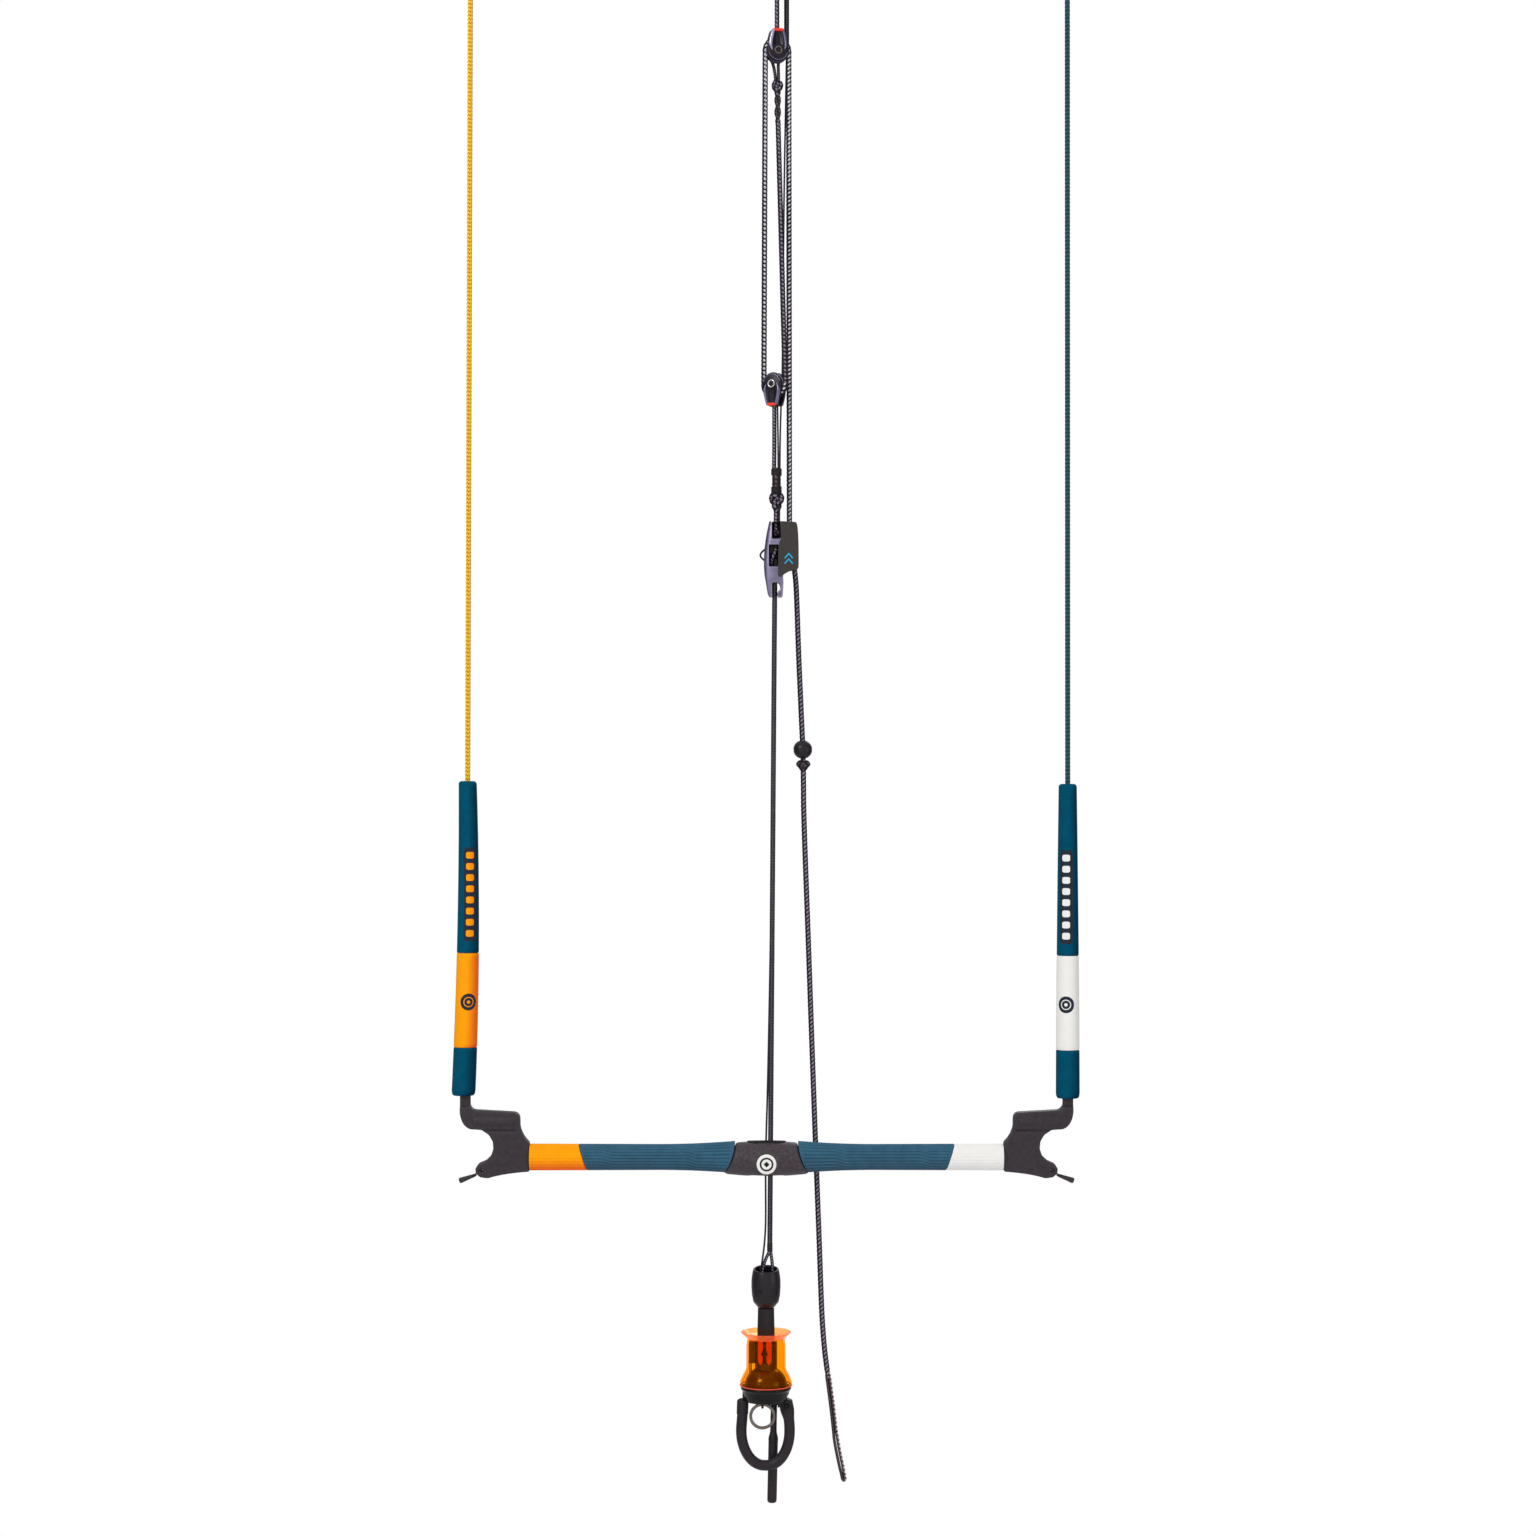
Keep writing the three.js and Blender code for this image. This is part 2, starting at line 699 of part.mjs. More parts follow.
const bandFoot = 43.5;
const bandTop = 128.3;
const floatBore = 2.6;
const floatSocketRadius = 8.6;
const floatSocketDepth = 7;

const floatRadius = (z) =>
  floatFootRadius - (floatFootRadius - floatTopRadius) * (z / floatLength) ** 1.5;

function floatFoot() {
  return turned([
    [floatBore, floatSocketDepth],
    [floatSocketRadius, floatSocketDepth],
    [floatSocketRadius, 0],
    [floatFootRadius - 1.2, 0],
    [floatFootRadius, 3],
    [floatRadius(bandFoot), bandFoot - gap],
    [floatBore, bandFoot - gap],
    [floatBore, floatSocketDepth],
  ]);
}

function floatBand() {
  return turned([
    [floatBore, bandFoot],
    [floatRadius(bandFoot), bandFoot],
    [floatRadius(bandTop), bandTop - gap],
    [floatBore, bandTop - gap],
    [floatBore, bandFoot],
  ]);
}

function floatTop() {
  const middle = (bandTop + floatLength) / 2;
  return turned([
    [floatBore, bandTop],
    [floatRadius(bandTop), bandTop],
    [floatRadius(middle), middle],
    [floatTopRadius, floatLength - 2.5],
    [floatTopRadius - 2, floatLength],
    [floatBore, floatLength],
    [floatBore, bandTop],
  ]);
}

// The leader leaves the float's bore and turns the last fraction of a degree to hang plumb.
function leaderLine(lean, foot) {
  const inside = straightRope(
    new THREE.Vector3(0, 0, 20), new THREE.Vector3(0, 0, floatLength + 2), leaderRadius);
  inside.rotateY(lean);
  const exit = new THREE.Vector3(0, 0, floatLength).applyAxisAngle(new THREE.Vector3(0, 1, 0), lean);
  const top = new THREE.Vector3(exit.x, 0, lineTopZ - foot);
  return join(inside, straightRope(exit, top, leaderRadius));
}

function addFloat(parent, sideName, side, leaderX, bandMaterial, leaderMaterial) {
  const footX = barX + side * stemOffset;
  const lean = Math.asin((leaderX - footX) / floatLength);
  const group = place(parent, footX, 0, floatFootZ);
  const leaning = place(group, 0, 0, 0);
  leaning.rotation.y = lean;
  part(leaning, `float_${sideName}_foot`, floatFoot(), tealFoam);
  part(leaning, `float_${sideName}_band`, floatBand(), bandMaterial);
  part(leaning, `float_${sideName}_top`, floatTop(), tealFoam);
  part(group, `leader_${sideName}`, leaderLine(lean, floatFootZ), leaderMaterial);
}

// Quick release -----------------------------------------------------------------------------

const pinX = -14;                     // release pin, beside the core
const pinRadius = 1.2;
const pinHeadRadius = 1.7;
const retainerPinRadius = 1;
const lipZ = 83;                      // ledge on the sleeve's prongs that the spring presses on
const collarZ = 106;

// The turning stem: its head runs in the swivel cover, its foot is screwed into the body.
function swivelStem() {
  return turned([
    [0, 72],
    [stemRadius - 1.2, 72],
    [stemRadius - 1.2, 80],
    [stemRadius, 80],
    [stemRadius, collarZ],
    [9.4, collarZ],
    [9.4, collarZ + 1.8],
    [stemRadius, collarZ + 1.8],
    [stemRadius, barrelFootZ - gap],
    [4.2, barrelFootZ - gap],
    [4.2, 141.8],
    [7, 141.8],
    [7, 145.6],
    [0, 145.6],
  ], 16);
}

function releaseBody() {
  const shell = turned([
    [0, baseFootZ],
    [18.9, baseFootZ],
    [21.6, baseTopZ - 3],
    [21.6, baseTopZ - gap],
    [17, baseTopZ + 0.4],
    [15.4, 73],
    [12.4, 80],
    [0, 80],
  ], 20);
  const stemSocket = cylinder(stemRadius - 1.2 + gap, 20, 'z');
  stemSocket.translate(0, 0, 81.6);
  const hingeNotch = cylinder(6.6, 10.8, 'y');
  hingeNotch.translate(loopHinge.x, 0, loopHinge.z);
  const swingNotch = box([loopHinge.x, -5.4, 40], [reach, 5.4, 58.6]);
  const latchNotch = box([-reach, -2.6, 40], [pinX + 3, 2.6, 61.6]);
  const pinHole = cylinder(pinRadius + 0.4, reach, 'z');
  pinHole.translate(pinX, 0, 60 + reach / 2);
  const cheeks = [-1, 1].map((face) => {
    const lug = cylinder(4.2, 2.2, 'y', 12);
    lug.translate(loopHinge.x, face * 6.8, loopHinge.z);
    const web = box([loopHinge.x - 4.2, face * 6.8 - 1.1, loopHinge.z],
      [loopHinge.x - 0.5, face * 6.8 + 1.1, baseFootZ + 2]);
    return join(lug, web);
  });
  const ringLug = rope(
    new Arc(new THREE.Vector3(0, 0, 0), 4, 4.7, Math.PI, 2 * Math.PI), 1.1, 8, 6);
  ringLug.rotateZ(Math.PI / 2);
  ringLug.translate(ringHang.x, ringHang.y, baseFootZ + 0.1);
  const fork = [-1, 1].map((face) => {
    const middle = retainerHinge.x + face * 4.2;
    return box([middle - 0.9, retainerHinge.y - 2.6, retainerHinge.z - 2.6],
      [middle + 0.9, retainerHinge.y + 2.6, baseFootZ + 1]);
  });
  const hingeHole = cylinder(1.5 + gap, 40, 'y', 12);
  hingeHole.translate(loopHinge.x, 0, loopHinge.z);
  const forkHole = cylinder(retainerPinRadius + gap, 20, 'x', 10);
  forkHole.translate(retainerHinge.x, retainerHinge.y, retainerHinge.z);
  return cut(join(shell, ...cheeks, ringLug, ...fork),
    stemSocket, hingeNotch, swingNotch, latchNotch, pinHole, hingeHole, forkHole);
}

function releaseSleeve() {
  const shell = turned([
    [8.6, 109],
    [8.6, 110.6],
    [17.6, 112],
    [21.6, 115.6],
    [22.7, 115.6],
    [16.7, 109],
    [17.6, 104],
    [17.7, 82],
    [23.2, 71.4],
    [23.2, baseTopZ + gap],
    [21.6, baseTopZ + gap],
    [21.6, 71.8],
    [16.1, 82.4],
    [16.1, 107.4],
    [11.4, 107.4],
    [11.4, lipZ - 1.4],
    [8.2, lipZ - 1.4],
    [8.2, lipZ],
    [9.9, lipZ],
    [9.9, 109],
    [8.6, 109],
  ].reverse(), 20);
  const shelf = box([pinX - 2.6, -2.6, 85], [pinX + 3.6, 2.6, 87]);
  const shelfHole = cylinder(pinRadius + gap, 20, 'z', 12);
  shelfHole.translate(pinX, 0, 86);
  return cut(join(shell, shelf), shelfHole);
}

// Hangs from the sleeve's shelf; pushing the sleeve up draws it out of the base.
function releasePin() {
  const pin = turned([
    [0, 62], [pinRadius, 62], [pinRadius, 87.3], [pinHeadRadius, 87.3], [pinHeadRadius, 88.6], [0, 88.6],
  ], 12);
  pin.translate(pinX, 0, 0);
  return pin;
}

function returnSpring() {
  return rope(new Helix(8.6, lipZ + 0.8, collarZ - 0.9, 5.5), 0.5, 50, 4);
}

// Harness loop ------------------------------------------------------------------------------

// A U of stiff tube over the loop line: straight at the very bottom, hinged at its right end.
function loopTube() {
  const seatHalf = 5;
  const seatZ = -loopTubeRadius;
  const left = -22.2;
  const right = 21.2;
  const shoulderZ = 26;
  const path = new THREE.CurvePath();
  const corner = (x) => new THREE.Vector3(x, 0, shoulderZ);
  const leftEnd = new THREE.Vector3(-20.6, 0, baseFootZ - 0.8);
  path.add(new THREE.LineCurve3(leftEnd, corner(left)));
  path.add(new Arc(corner(-seatHalf), -seatHalf - left, shoulderZ - seatZ, Math.PI, 1.5 * Math.PI));
  path.add(new THREE.LineCurve3(
    new THREE.Vector3(-seatHalf, 0, seatZ), new THREE.Vector3(seatHalf, 0, seatZ)));
  path.add(new Arc(corner(seatHalf), right - seatHalf, shoulderZ - seatZ, -0.5 * Math.PI, 0));
  path.add(new THREE.LineCurve3(corner(right), loopHinge.clone().setZ(loopHinge.z - 2)));
  const tube = rope(path, loopTubeRadius, 30, 8);
  const knuckle = cylinder(5.8, 9.6, 'y', 16);
  knuckle.translate(loopHinge.x, 0, loopHinge.z);
  const tongue = box([-21.2, -2, baseFootZ - 3], [-19, 2, 60.8]);
  const hook = box([-20, -2, 58.8], [pinX + 1.4, 2, 60.8]);
  const bore = cylinder(1.5 + gap, 20, 'y', 12);
  bore.translate(loopHinge.x, 0, loopHinge.z);
  return cut(join(tube, knuckle, tongue, hook), bore);
}

function loopPin() {
  const pin = cylinder(1.5, 16.4, 'y', 12);
  pin.translate(loopHinge.x, 0, loopHinge.z);
  return pin;
}

function leashRing() {
  const ring = new THREE.TorusGeometry(ringRadius, ringWireRadius, 6, 24);
  ring.rotateX(Math.PI / 2);
  ring.translate(ringHang.x, ringHang.y, ringHang.z - ringRadius);
  return ring;
}

// The finger that keeps the hook in the loop: slim at its hinge, thick below.
function hookRetainer() {
  const rod = turned([
    [0, -89],
    [3.4, -89],
    [4.3, -87.6],
    [4.3, -30],
    [2.9, -24],
    [2.9, 0],
    [2.2, 2.6],
    [0, 2.6],
  ], 14);
  rod.rotateY(1.3 * degree);
  const bored = cut(rod, cylinder(retainerPinRadius + gap, 20, 'x', 10));
  bored.translate(retainerHinge.x, retainerHinge.y, retainerHinge.z);
  return bored;
}

function retainerPin() {
  const pin = cylinder(retainerPinRadius, 10.4, 'x', 10);
  pin.translate(retainerHinge.x, retainerHinge.y, retainerHinge.z);
  return pin;
}

// Trim tail ---------------------------------------------------------------------------------

const tailSplice = [56.3, 20, 69.8];

function trimTailLine() {
  const along = (t) => ropeExit.clone().lerp(ballCentre, t).toArray();
  const line = curvedRope([
    [ropeEntry.x, ropeEntry.y, ropeEntry.z - gap],
    [ropeEntry.x + 1.2, 17.9, 826],
    along(0),
    along(0.5),
    along(1),
    along(1.07),
    [34.1, 24.6, 590],
    [38.6, 22.6, 458],
    [42.7, 22, 341.6],
    [47.7, 21, 206.6],
    [51.9, 20, 107.6],
    tailSplice,
  ], ropeRadius, 30, 6);
  return join(line, knot(5.8, 9.6, 33.8, 26.3, 624.4));
}

function tailEndLoop() {
  return curvedRope([
    [56.4, 20, 69.4],
    [59.9, 20, 42.8],
    [63.6, 20, 12],
    [70.7, 20, -23],
  ], 2.7, 8, 6);
}

function stopperBall() {
  const ball = new THREE.SphereGeometry(ballRadius, 16, 10);
  const bore = cylinder(3.1, 4 * ballRadius, 'z', 12);
  const direction = ropeExit.clone().sub(ballCentre).normalize();
  bore.applyQuaternion(new THREE.Quaternion().setFromUnitVectors(new THREE.Vector3(0, 0, 1), direction));
  const drilled = cut(ball, bore);
  drilled.translate(ballCentre.x, ballCentre.y, ballCentre.z);
  return drilled;
}

// Assembly ----------------------------------------------------------------------------------

const controlBar = new THREE.Group();

part(controlBar, 'front_line', frontLine(), blackRope);
addBlock('upper', controlBar, upperAxle, upperYaw, false, frontLineRadius);
part(controlBar, 'becket_line', becketLine(), blackRope);
addTackleLegs(controlBar);
addSafetyTop(controlBar);
part(controlBar, 'safety_line_tackle', safetyTackle(), blackRope);

addBlock('lower', controlBar, lowerAxle, lowerYaw, true, 2.6);
part(controlBar, 'block_tether', blockTether(), blackRope);
part(controlBar, 'cleat_body', cleatBody(), anodised);
part(controlBar, 'cleat_cover', cleatCover(), coverPlastic);
part(controlBar, 'depower_line', depowerLine(), blackRope);
part(controlBar, 'safety_line', safetyLine(), blackRope);
part(controlBar, 'swivel_cover', swivelCover(), blackPlastic);
part(controlBar, 'swivel_head', swivelHead(), steel);

part(controlBar, 'trim_tail_line', trimTailLine(), blackRope);
part(controlBar, 'tail_end_loop', tailEndLoop(), blackRope);
part(controlBar, 'stopper_ball', stopperBall(), blackPlastic);

const bar = place(controlBar, barX, 0, barZ);
part(bar, 'line_guide_bush', lineGuideBush(), darkPlastic);
part(bar, 'centre_insert', centreInsert(), grabFoam);
part(bar, 'centre_badge', centreBadge(), darkPlastic);
for (const [sideName, side, tipFoam] of [['left', -1, orangeFoam], ['right', 1, whiteFoam]]) {
  part(bar, `bar_tube_${sideName}`, barTube(side), aluminium);
  part(bar, `grip_${sideName}`, grip(side), gripFoam);
  part(bar, `grip_tip_${sideName}`, gripTip(side), tipFoam);
  part(bar, `winder_${sideName}`, winder(side), blackPlastic);
  part(bar, `keeper_${sideName}`, keeperToggle(side), blackPlastic);
}

addFloat(controlBar, 'left', -1, -267.6, orangeFoam, orangeRope);
addFloat(controlBar, 'right', 1, 271, whiteFoam, tealRope);

part(controlBar, 'swivel_stem', swivelStem(), blackPlastic);
part(controlBar, 'release_body', releaseBody(), blackPlastic);
part(controlBar, 'return_spring', returnSpring(), steel);
part(controlBar, 'release_sleeve', releaseSleeve(), amberPlastic);
part(controlBar, 'release_pin', releasePin(), steel);
part(controlBar, 'loop_tube', loopTube(), blackPlastic);
part(controlBar, 'loop_pin', loopPin(), steel);
part(controlBar, 'leash_ring', leashRing(), steel);
part(controlBar, 'hook_retainer', hookRetainer(), blackPlastic);
part(controlBar, 'retainer_pin', retainerPin(), steel);

export default controlBar;
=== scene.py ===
import json
import math

import bmesh
import bpy
import numpy as np
from mathutils import Matrix, Vector


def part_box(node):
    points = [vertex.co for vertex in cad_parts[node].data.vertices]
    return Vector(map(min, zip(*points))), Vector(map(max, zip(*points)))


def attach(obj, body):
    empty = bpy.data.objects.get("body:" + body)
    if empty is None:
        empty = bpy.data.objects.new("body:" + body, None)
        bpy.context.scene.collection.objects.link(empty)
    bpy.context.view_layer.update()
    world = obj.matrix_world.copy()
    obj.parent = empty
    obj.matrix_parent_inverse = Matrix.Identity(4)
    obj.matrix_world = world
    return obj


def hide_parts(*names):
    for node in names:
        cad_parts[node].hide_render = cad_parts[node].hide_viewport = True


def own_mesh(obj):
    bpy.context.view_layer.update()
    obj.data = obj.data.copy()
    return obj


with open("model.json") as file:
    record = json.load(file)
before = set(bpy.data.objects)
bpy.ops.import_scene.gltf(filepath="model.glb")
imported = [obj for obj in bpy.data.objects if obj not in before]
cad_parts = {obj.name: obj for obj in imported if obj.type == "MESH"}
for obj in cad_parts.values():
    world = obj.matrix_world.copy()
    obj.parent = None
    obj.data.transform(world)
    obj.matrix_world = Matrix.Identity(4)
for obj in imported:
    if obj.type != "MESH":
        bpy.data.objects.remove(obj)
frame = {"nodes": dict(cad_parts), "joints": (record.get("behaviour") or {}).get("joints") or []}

MM = 0.001
UP = np.array([0.0, 0.0, 1.0])
AWAY = np.array([0.0, 1.0, 0.0])
FRONT = -math.pi / 2                   # angle round an upright axis that faces the camera
TURN = 2 * math.pi


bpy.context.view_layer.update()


# Places worked out from the frame -----------------------------------------------------------

def span(*nodes):
    """Lowest and highest corner of some CAD nodes together."""
    boxes = [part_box(node) for node in nodes]
    low = np.min([np.array(box[0]) for box in boxes], axis=0)
    high = np.max([np.array(box[1]) for box in boxes], axis=0)
    return low / MM, high / MM


def middle(node):
    low, high = span(node)
    return (low + high) / 2


def joint(name):
    return next(entry for entry in frame["joints"] if entry["name"] == name)


def rope_middles(node, radius, skip=(0, 0)):
    """Middles of the rings of vertices of a rope node, in order from its highest end.
    Vertices between the two heights in skip are left out, where a knot hides the rope."""
    points = np.array([vertex.co for vertex in frame["nodes"][node].data.vertices], float) / MM
    points = points[(points[:, 2] < skip[0]) | (points[:, 2] > skip[1])]
    middles = []
    while len(points):
        near = np.linalg.norm(points - points[0], axis=1) < 2.6 * radius
        ring = points[near]
        middles.append((ring.min(axis=0) + ring.max(axis=0)) / 2)
        points = points[~near]
    middles.sort(key=lambda place: place[2])
    chain = [middles.pop()]
    while middles:
        distances = [np.linalg.norm(place - chain[-1]) for place in middles]
        chain.append(middles.pop(int(np.argmin(distances))))
    return np.array(chain)


# Curves and surfaces as numbers -------------------------------------------------------------

def smooth_path(points, step):
    """Places about every step along a smooth curve through the points."""
    points = np.array(points, float)
    along = np.concatenate([[0], np.cumsum(np.linalg.norm(np.diff(points, axis=0), axis=1))])
    slopes = np.gradient(points, along, axis=0)
    count = max(2, int(math.ceil(along[-1] / step)) + 1)
    wanted = np.linspace(0, along[-1], count)
    part = np.clip(np.searchsorted(along, wanted, side="right") - 1, 0, len(points) - 2)
    length = (along[part + 1] - along[part])[:, None]
    t = (wanted - along[part])[:, None] / length
    return ((1 + 2 * t) * (1 - t) ** 2 * points[part] + t * (1 - t) ** 2 * length * slopes[part]
            + t ** 2 * (3 - 2 * t) * points[part + 1] - t ** 2 * (1 - t) * length * slopes[part + 1])


def arc_path(centre, radius_x, radius_z, start, end, step):
    """Places along an arc in an upright plane facing the camera, angles in radians from +X."""
    count = max(3, int(abs(end - start) * max(radius_x, radius_z) / step))
    angles = np.linspace(start, end, count)
    flat = np.zeros_like(angles)
    return centre + np.stack([radius_x * np.cos(angles), flat, radius_z * np.sin(angles)], axis=1)


def grid_faces(rows, columns, wrap_rows=False, wrap_columns=True):
    """Quads of a grid of vertices numbered row by row."""
    faces = []
    for i in range(rows if wrap_rows else rows - 1):
        for j in range(columns if wrap_columns else columns - 1):
            right = (j + 1) % columns
            above = (i + 1) % rows
            faces.append((i * columns + j, i * columns + right, above * columns + right, above * columns + j))
    return faces


def sweep(path, radius, sides=24, closed=False, reference=AWAY):
    """A tube along a path: vertices, faces, and for each vertex its distance along and angle round.
    radius is a number or a function of distance and angle. Angle 0 is to the right of an upright
    path, and a quarter turn is towards the reference direction."""
    path = np.array(path, float)
    if closed:
        tangents = np.roll(path, -1, axis=0) - np.roll(path, 1, axis=0)
    else:
        tangents = np.gradient(path, axis=0)
    tangents /= np.linalg.norm(tangents, axis=1)[:, None]
    deep = reference - (tangents @ reference)[:, None] * tangents
    deep /= np.linalg.norm(deep, axis=1)[:, None]
    across = np.cross(deep, tangents)
    steps = np.linalg.norm(np.diff(path, axis=0), axis=1)
    along = np.concatenate([[0], np.cumsum(steps)])
    angles = np.arange(sides) * TURN / sides
    distance, angle = np.meshgrid(along, angles, indexing="ij")
    size = radius(distance, angle) if callable(radius) else np.full_like(distance, radius)
    vertices = (path[:, None] + size[..., None] * (
        np.cos(angle)[..., None] * across[:, None] + np.sin(angle)[..., None] * deep[:, None]))
    vertices = vertices.reshape(-1, 3)
    faces = grid_faces(len(path), sides, wrap_rows=closed)
    if not closed:
        last = len(path) * sides
        vertices = np.vstack([vertices, path[0], path[-1]])
        for j in range(sides):
            right = (j + 1) % sides
            faces.append((right, j, last))
            faces.append((last - sides + j, last - sides + right, last + 1))
    return vertices, faces, distance.ravel(), angle.ravel()


def turned(profile, segments=64, ripple=None):
    """A closed profile of (radius, height) points turned about Z. Equal neighbours in the profile
    keep an edge sharp. ripple(radius, height, angle) may change the radius."""
    radii, heights = np.array(profile, float).T
    angles = np.arange(segments) * TURN / segments
    radius, angle = np.meshgrid(radii, angles, indexing="ij")
    height = np.repeat(heights[:, None], segments, axis=1)
    if ripple:
        radius = ripple(radius, height, angle)
    vertices = np.stack([radius * np.cos(angle), radius * np.sin(angle), height], axis=-1)
    return vertices.reshape(-1, 3), grid_faces(len(profile), segments, wrap_rows=True)


def rounded(profile, radius=0.6, steps=3):
    """A closed profile with each corner turned into a small arc."""
    points = np.array(profile, float)
    result = []
    for i, corner in enumerate(points):
        before = points[i - 1] - corner
        after = points[(i + 1) % len(points)] - corner
        cut = min(radius, 0.45 * np.linalg.norm(before), 0.45 * np.linalg.norm(after))
        start = corner + before / np.linalg.norm(before) * cut
        end = corner + after / np.linalg.norm(after) * cut
        for t in np.linspace(0, 1, steps + 1):
            result.append((1 - t) ** 2 * start + 2 * t * (1 - t) * corner + t ** 2 * end)
    return result


def smoothstep(low, high, value):
    t = np.clip((value - low) / (high - low), 0, 1)
    return t * t * (3 - 2 * t)


def moved(vertices, place=(0, 0, 0), spin=0.0, lean=0.0, flip=False):
    """Vertices turned upside down, leaned in X and Z about +Y, spun about +Z, then placed."""
    matrix = Matrix.Rotation(spin, 3, "Z") @ Matrix.Rotation(lean, 3, "Y")
    if flip:
        matrix = matrix @ Matrix.Rotation(math.pi, 3, "Y")
    return np.array(vertices) @ np.array(matrix).T + np.array(place, float)


# Pieces -------------------------------------------------------------------------------------

def piece(name, vertices, faces, finish, body, replaces=(), sharp=50):
    """A smooth-shaded mesh that rides on a CAD body and may stand for some CAD nodes."""
    mesh = bpy.data.meshes.new(name)
    mesh.from_pydata((np.array(vertices) * MM).tolist(), [], faces)
    mesh.validate()
    obj = bpy.data.objects.new(name, mesh)
    bpy.context.scene.collection.objects.link(obj)
    finish_piece(obj, finish, body, replaces, sharp)
    return obj


def finish_piece(obj, finish, body, replaces=(), sharp=50):
    """Shading, material, material slot, body and stood-for nodes of a new object."""
    mesh = obj.data
    work = bmesh.new()
    work.from_mesh(mesh)
    bmesh.ops.remove_doubles(work, verts=work.verts, dist=1e-7)
    bmesh.ops.recalc_face_normals(work, faces=work.faces)
    work.to_mesh(mesh)
    work.free()
    mesh.shade_smooth()
    mesh.set_sharp_from_angle(angle=math.radians(sharp))
    mesh.materials.clear()
    mesh.materials.append(finish)
    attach(obj, body)
    if replaces:
        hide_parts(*replaces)


def lathe(name, profile, place, finish, body, replaces=(), round_by=0.6, segments=64, ripple=None,
          spin=0.0, lean=0.0, tilt=None, sharp=50):
    """A turned piece standing at a place; tilt is a direction that its axis points along instead."""
    outline = rounded(profile, round_by) if round_by else profile
    vertices, faces = turned(outline, segments, ripple)
    if tilt is not None:
        turn = np.array(Vector((0, 0, 1)).rotation_difference(Vector(tilt)).to_matrix())
        vertices = vertices @ turn.T + np.array(place, float)
    else:
        vertices = moved(vertices, place, spin, lean)
    return piece(name, vertices, faces, finish, body, replaces, sharp)


def tube(name, path, radius, finish, body, replaces=(), sides=24, closed=False, marks=None,
         reference=AWAY):
    """A tube piece. marks(distance, angle) gives each vertex's share of the fleck colour, which is a tracer yarn on
    the leaders and a painted highlight on the black ropes.
    """
    vertices, faces, distance, angle = sweep(path, radius, sides, closed, reference)
    mesh = bpy.data.meshes.new(name)
    mesh.from_pydata((vertices * MM).tolist(), [], faces)
    tracer_and_glint = mesh.attributes.new("tracer_and_glint", "FLOAT", "POINT")
    shares = np.zeros(len(vertices), np.float32)
    if marks:
        shares[:len(distance)] = marks(distance, angle)
    tracer_and_glint.data.foreach_set("value", shares)
    obj = bpy.data.objects.new(name, mesh)
    bpy.context.scene.collection.objects.link(obj)
    mesh.shade_smooth()
    mesh.materials.append(finish)
    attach(obj, body)
    if replaces:
        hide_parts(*replaces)
    return obj


def softened(name, node, voxel, finish, body, passes=6, extra=()):
    """A copy of a CAD node's mesh with its edges rounded, as a moulding has them.
    extra is a list of (operation, shape) to carve or join before the edges are rounded."""
    obj = bpy.data.objects.new(name, frame["nodes"][node].data.copy())
    bpy.context.scene.collection.objects.link(obj)
    mesh = obj.data
    work = bmesh.new()
    work.from_mesh(mesh)
    bmesh.ops.remove_doubles(work, verts=work.verts, dist=1e-6)
    work.to_mesh(mesh)
    work.free()
    for operation, shape in extra:
        carve(obj, shape, operation)
    soften(obj, voxel, passes)
    finish_piece(obj, finish, body, [node], sharp=80)
    return obj


def soften(obj, voxel, passes):
    """Rebuilds an object's surface at a voxel size and smooths it, so that its edges are rounded."""
    remesh = obj.modifiers.new("remesh", "REMESH")
    remesh.mode = "VOXEL"
    remesh.voxel_size = voxel * MM
    smooth = obj.modifiers.new("smooth", "SMOOTH")
    smooth.factor = 0.5
    smooth.iterations = passes
    apply_modifiers(obj)


def solid(name, vertices, faces):
    """A closed object with its faces turned outwards, to carve and soften."""
    mesh = bpy.data.meshes.new(name)
    mesh.from_pydata((np.array(vertices) * MM).tolist(), [], faces)
    obj = bpy.data.objects.new(name, mesh)
    bpy.context.scene.collection.objects.link(obj)
    work = bmesh.new()
    work.from_mesh(mesh)
    bmesh.ops.remove_doubles(work, verts=work.verts, dist=1e-7)
    bmesh.ops.recalc_face_normals(work, faces=work.faces)
    work.to_mesh(mesh)
    work.free()
    return obj


def apply_modifiers(obj):
    """Turns an object's modifiers into its mesh."""
    bpy.context.view_layer.update()
    shaped = obj.evaluated_get(bpy.context.evaluated_depsgraph_get())
    mesh = bpy.data.meshes.new_from_object(shaped)
    obj.modifiers.clear()
    obj.data = mesh


def carve(obj, cutter, operation="DIFFERENCE"):
    """Cuts a shape, given as vertices and faces, out of an object, or joins it on."""
    tool = solid("cutter", *cutter)
    boolean = obj.modifiers.new("boolean", "BOOLEAN")
    boolean.operation = operation
    boolean.object = tool
    boolean.solver = "EXACT"
    apply_modifiers(obj)
    bpy.data.objects.remove(tool)


def block(low, high):
    """Vertices and faces of an upright box, as a cutter."""
    corners = [(x, y, z) for z in (low[2], high[2]) for y in (low[1], high[1]) for x in (low[0], high[0])]
    faces = [(0, 2, 3, 1), (4, 5, 7, 6), (0, 1, 5, 4), (2, 6, 7, 3), (0, 4, 6, 2), (1, 3, 7, 5)]
    return corners, faces


def plate(outline, near, far):
    """Vertices and faces of a plate that faces the camera, from its (x, z) outline, as a cutter."""
    count = len(outline)
    vertices = [(x, y, z) for y in (near, far) for x, z in outline]
    faces = [(i, (i + 1) % count, count + (i + 1) % count, count + i) for i in range(count)]
    faces += [tuple(range(count)), tuple(range(2 * count - 1, count - 1, -1))]
    return vertices, faces


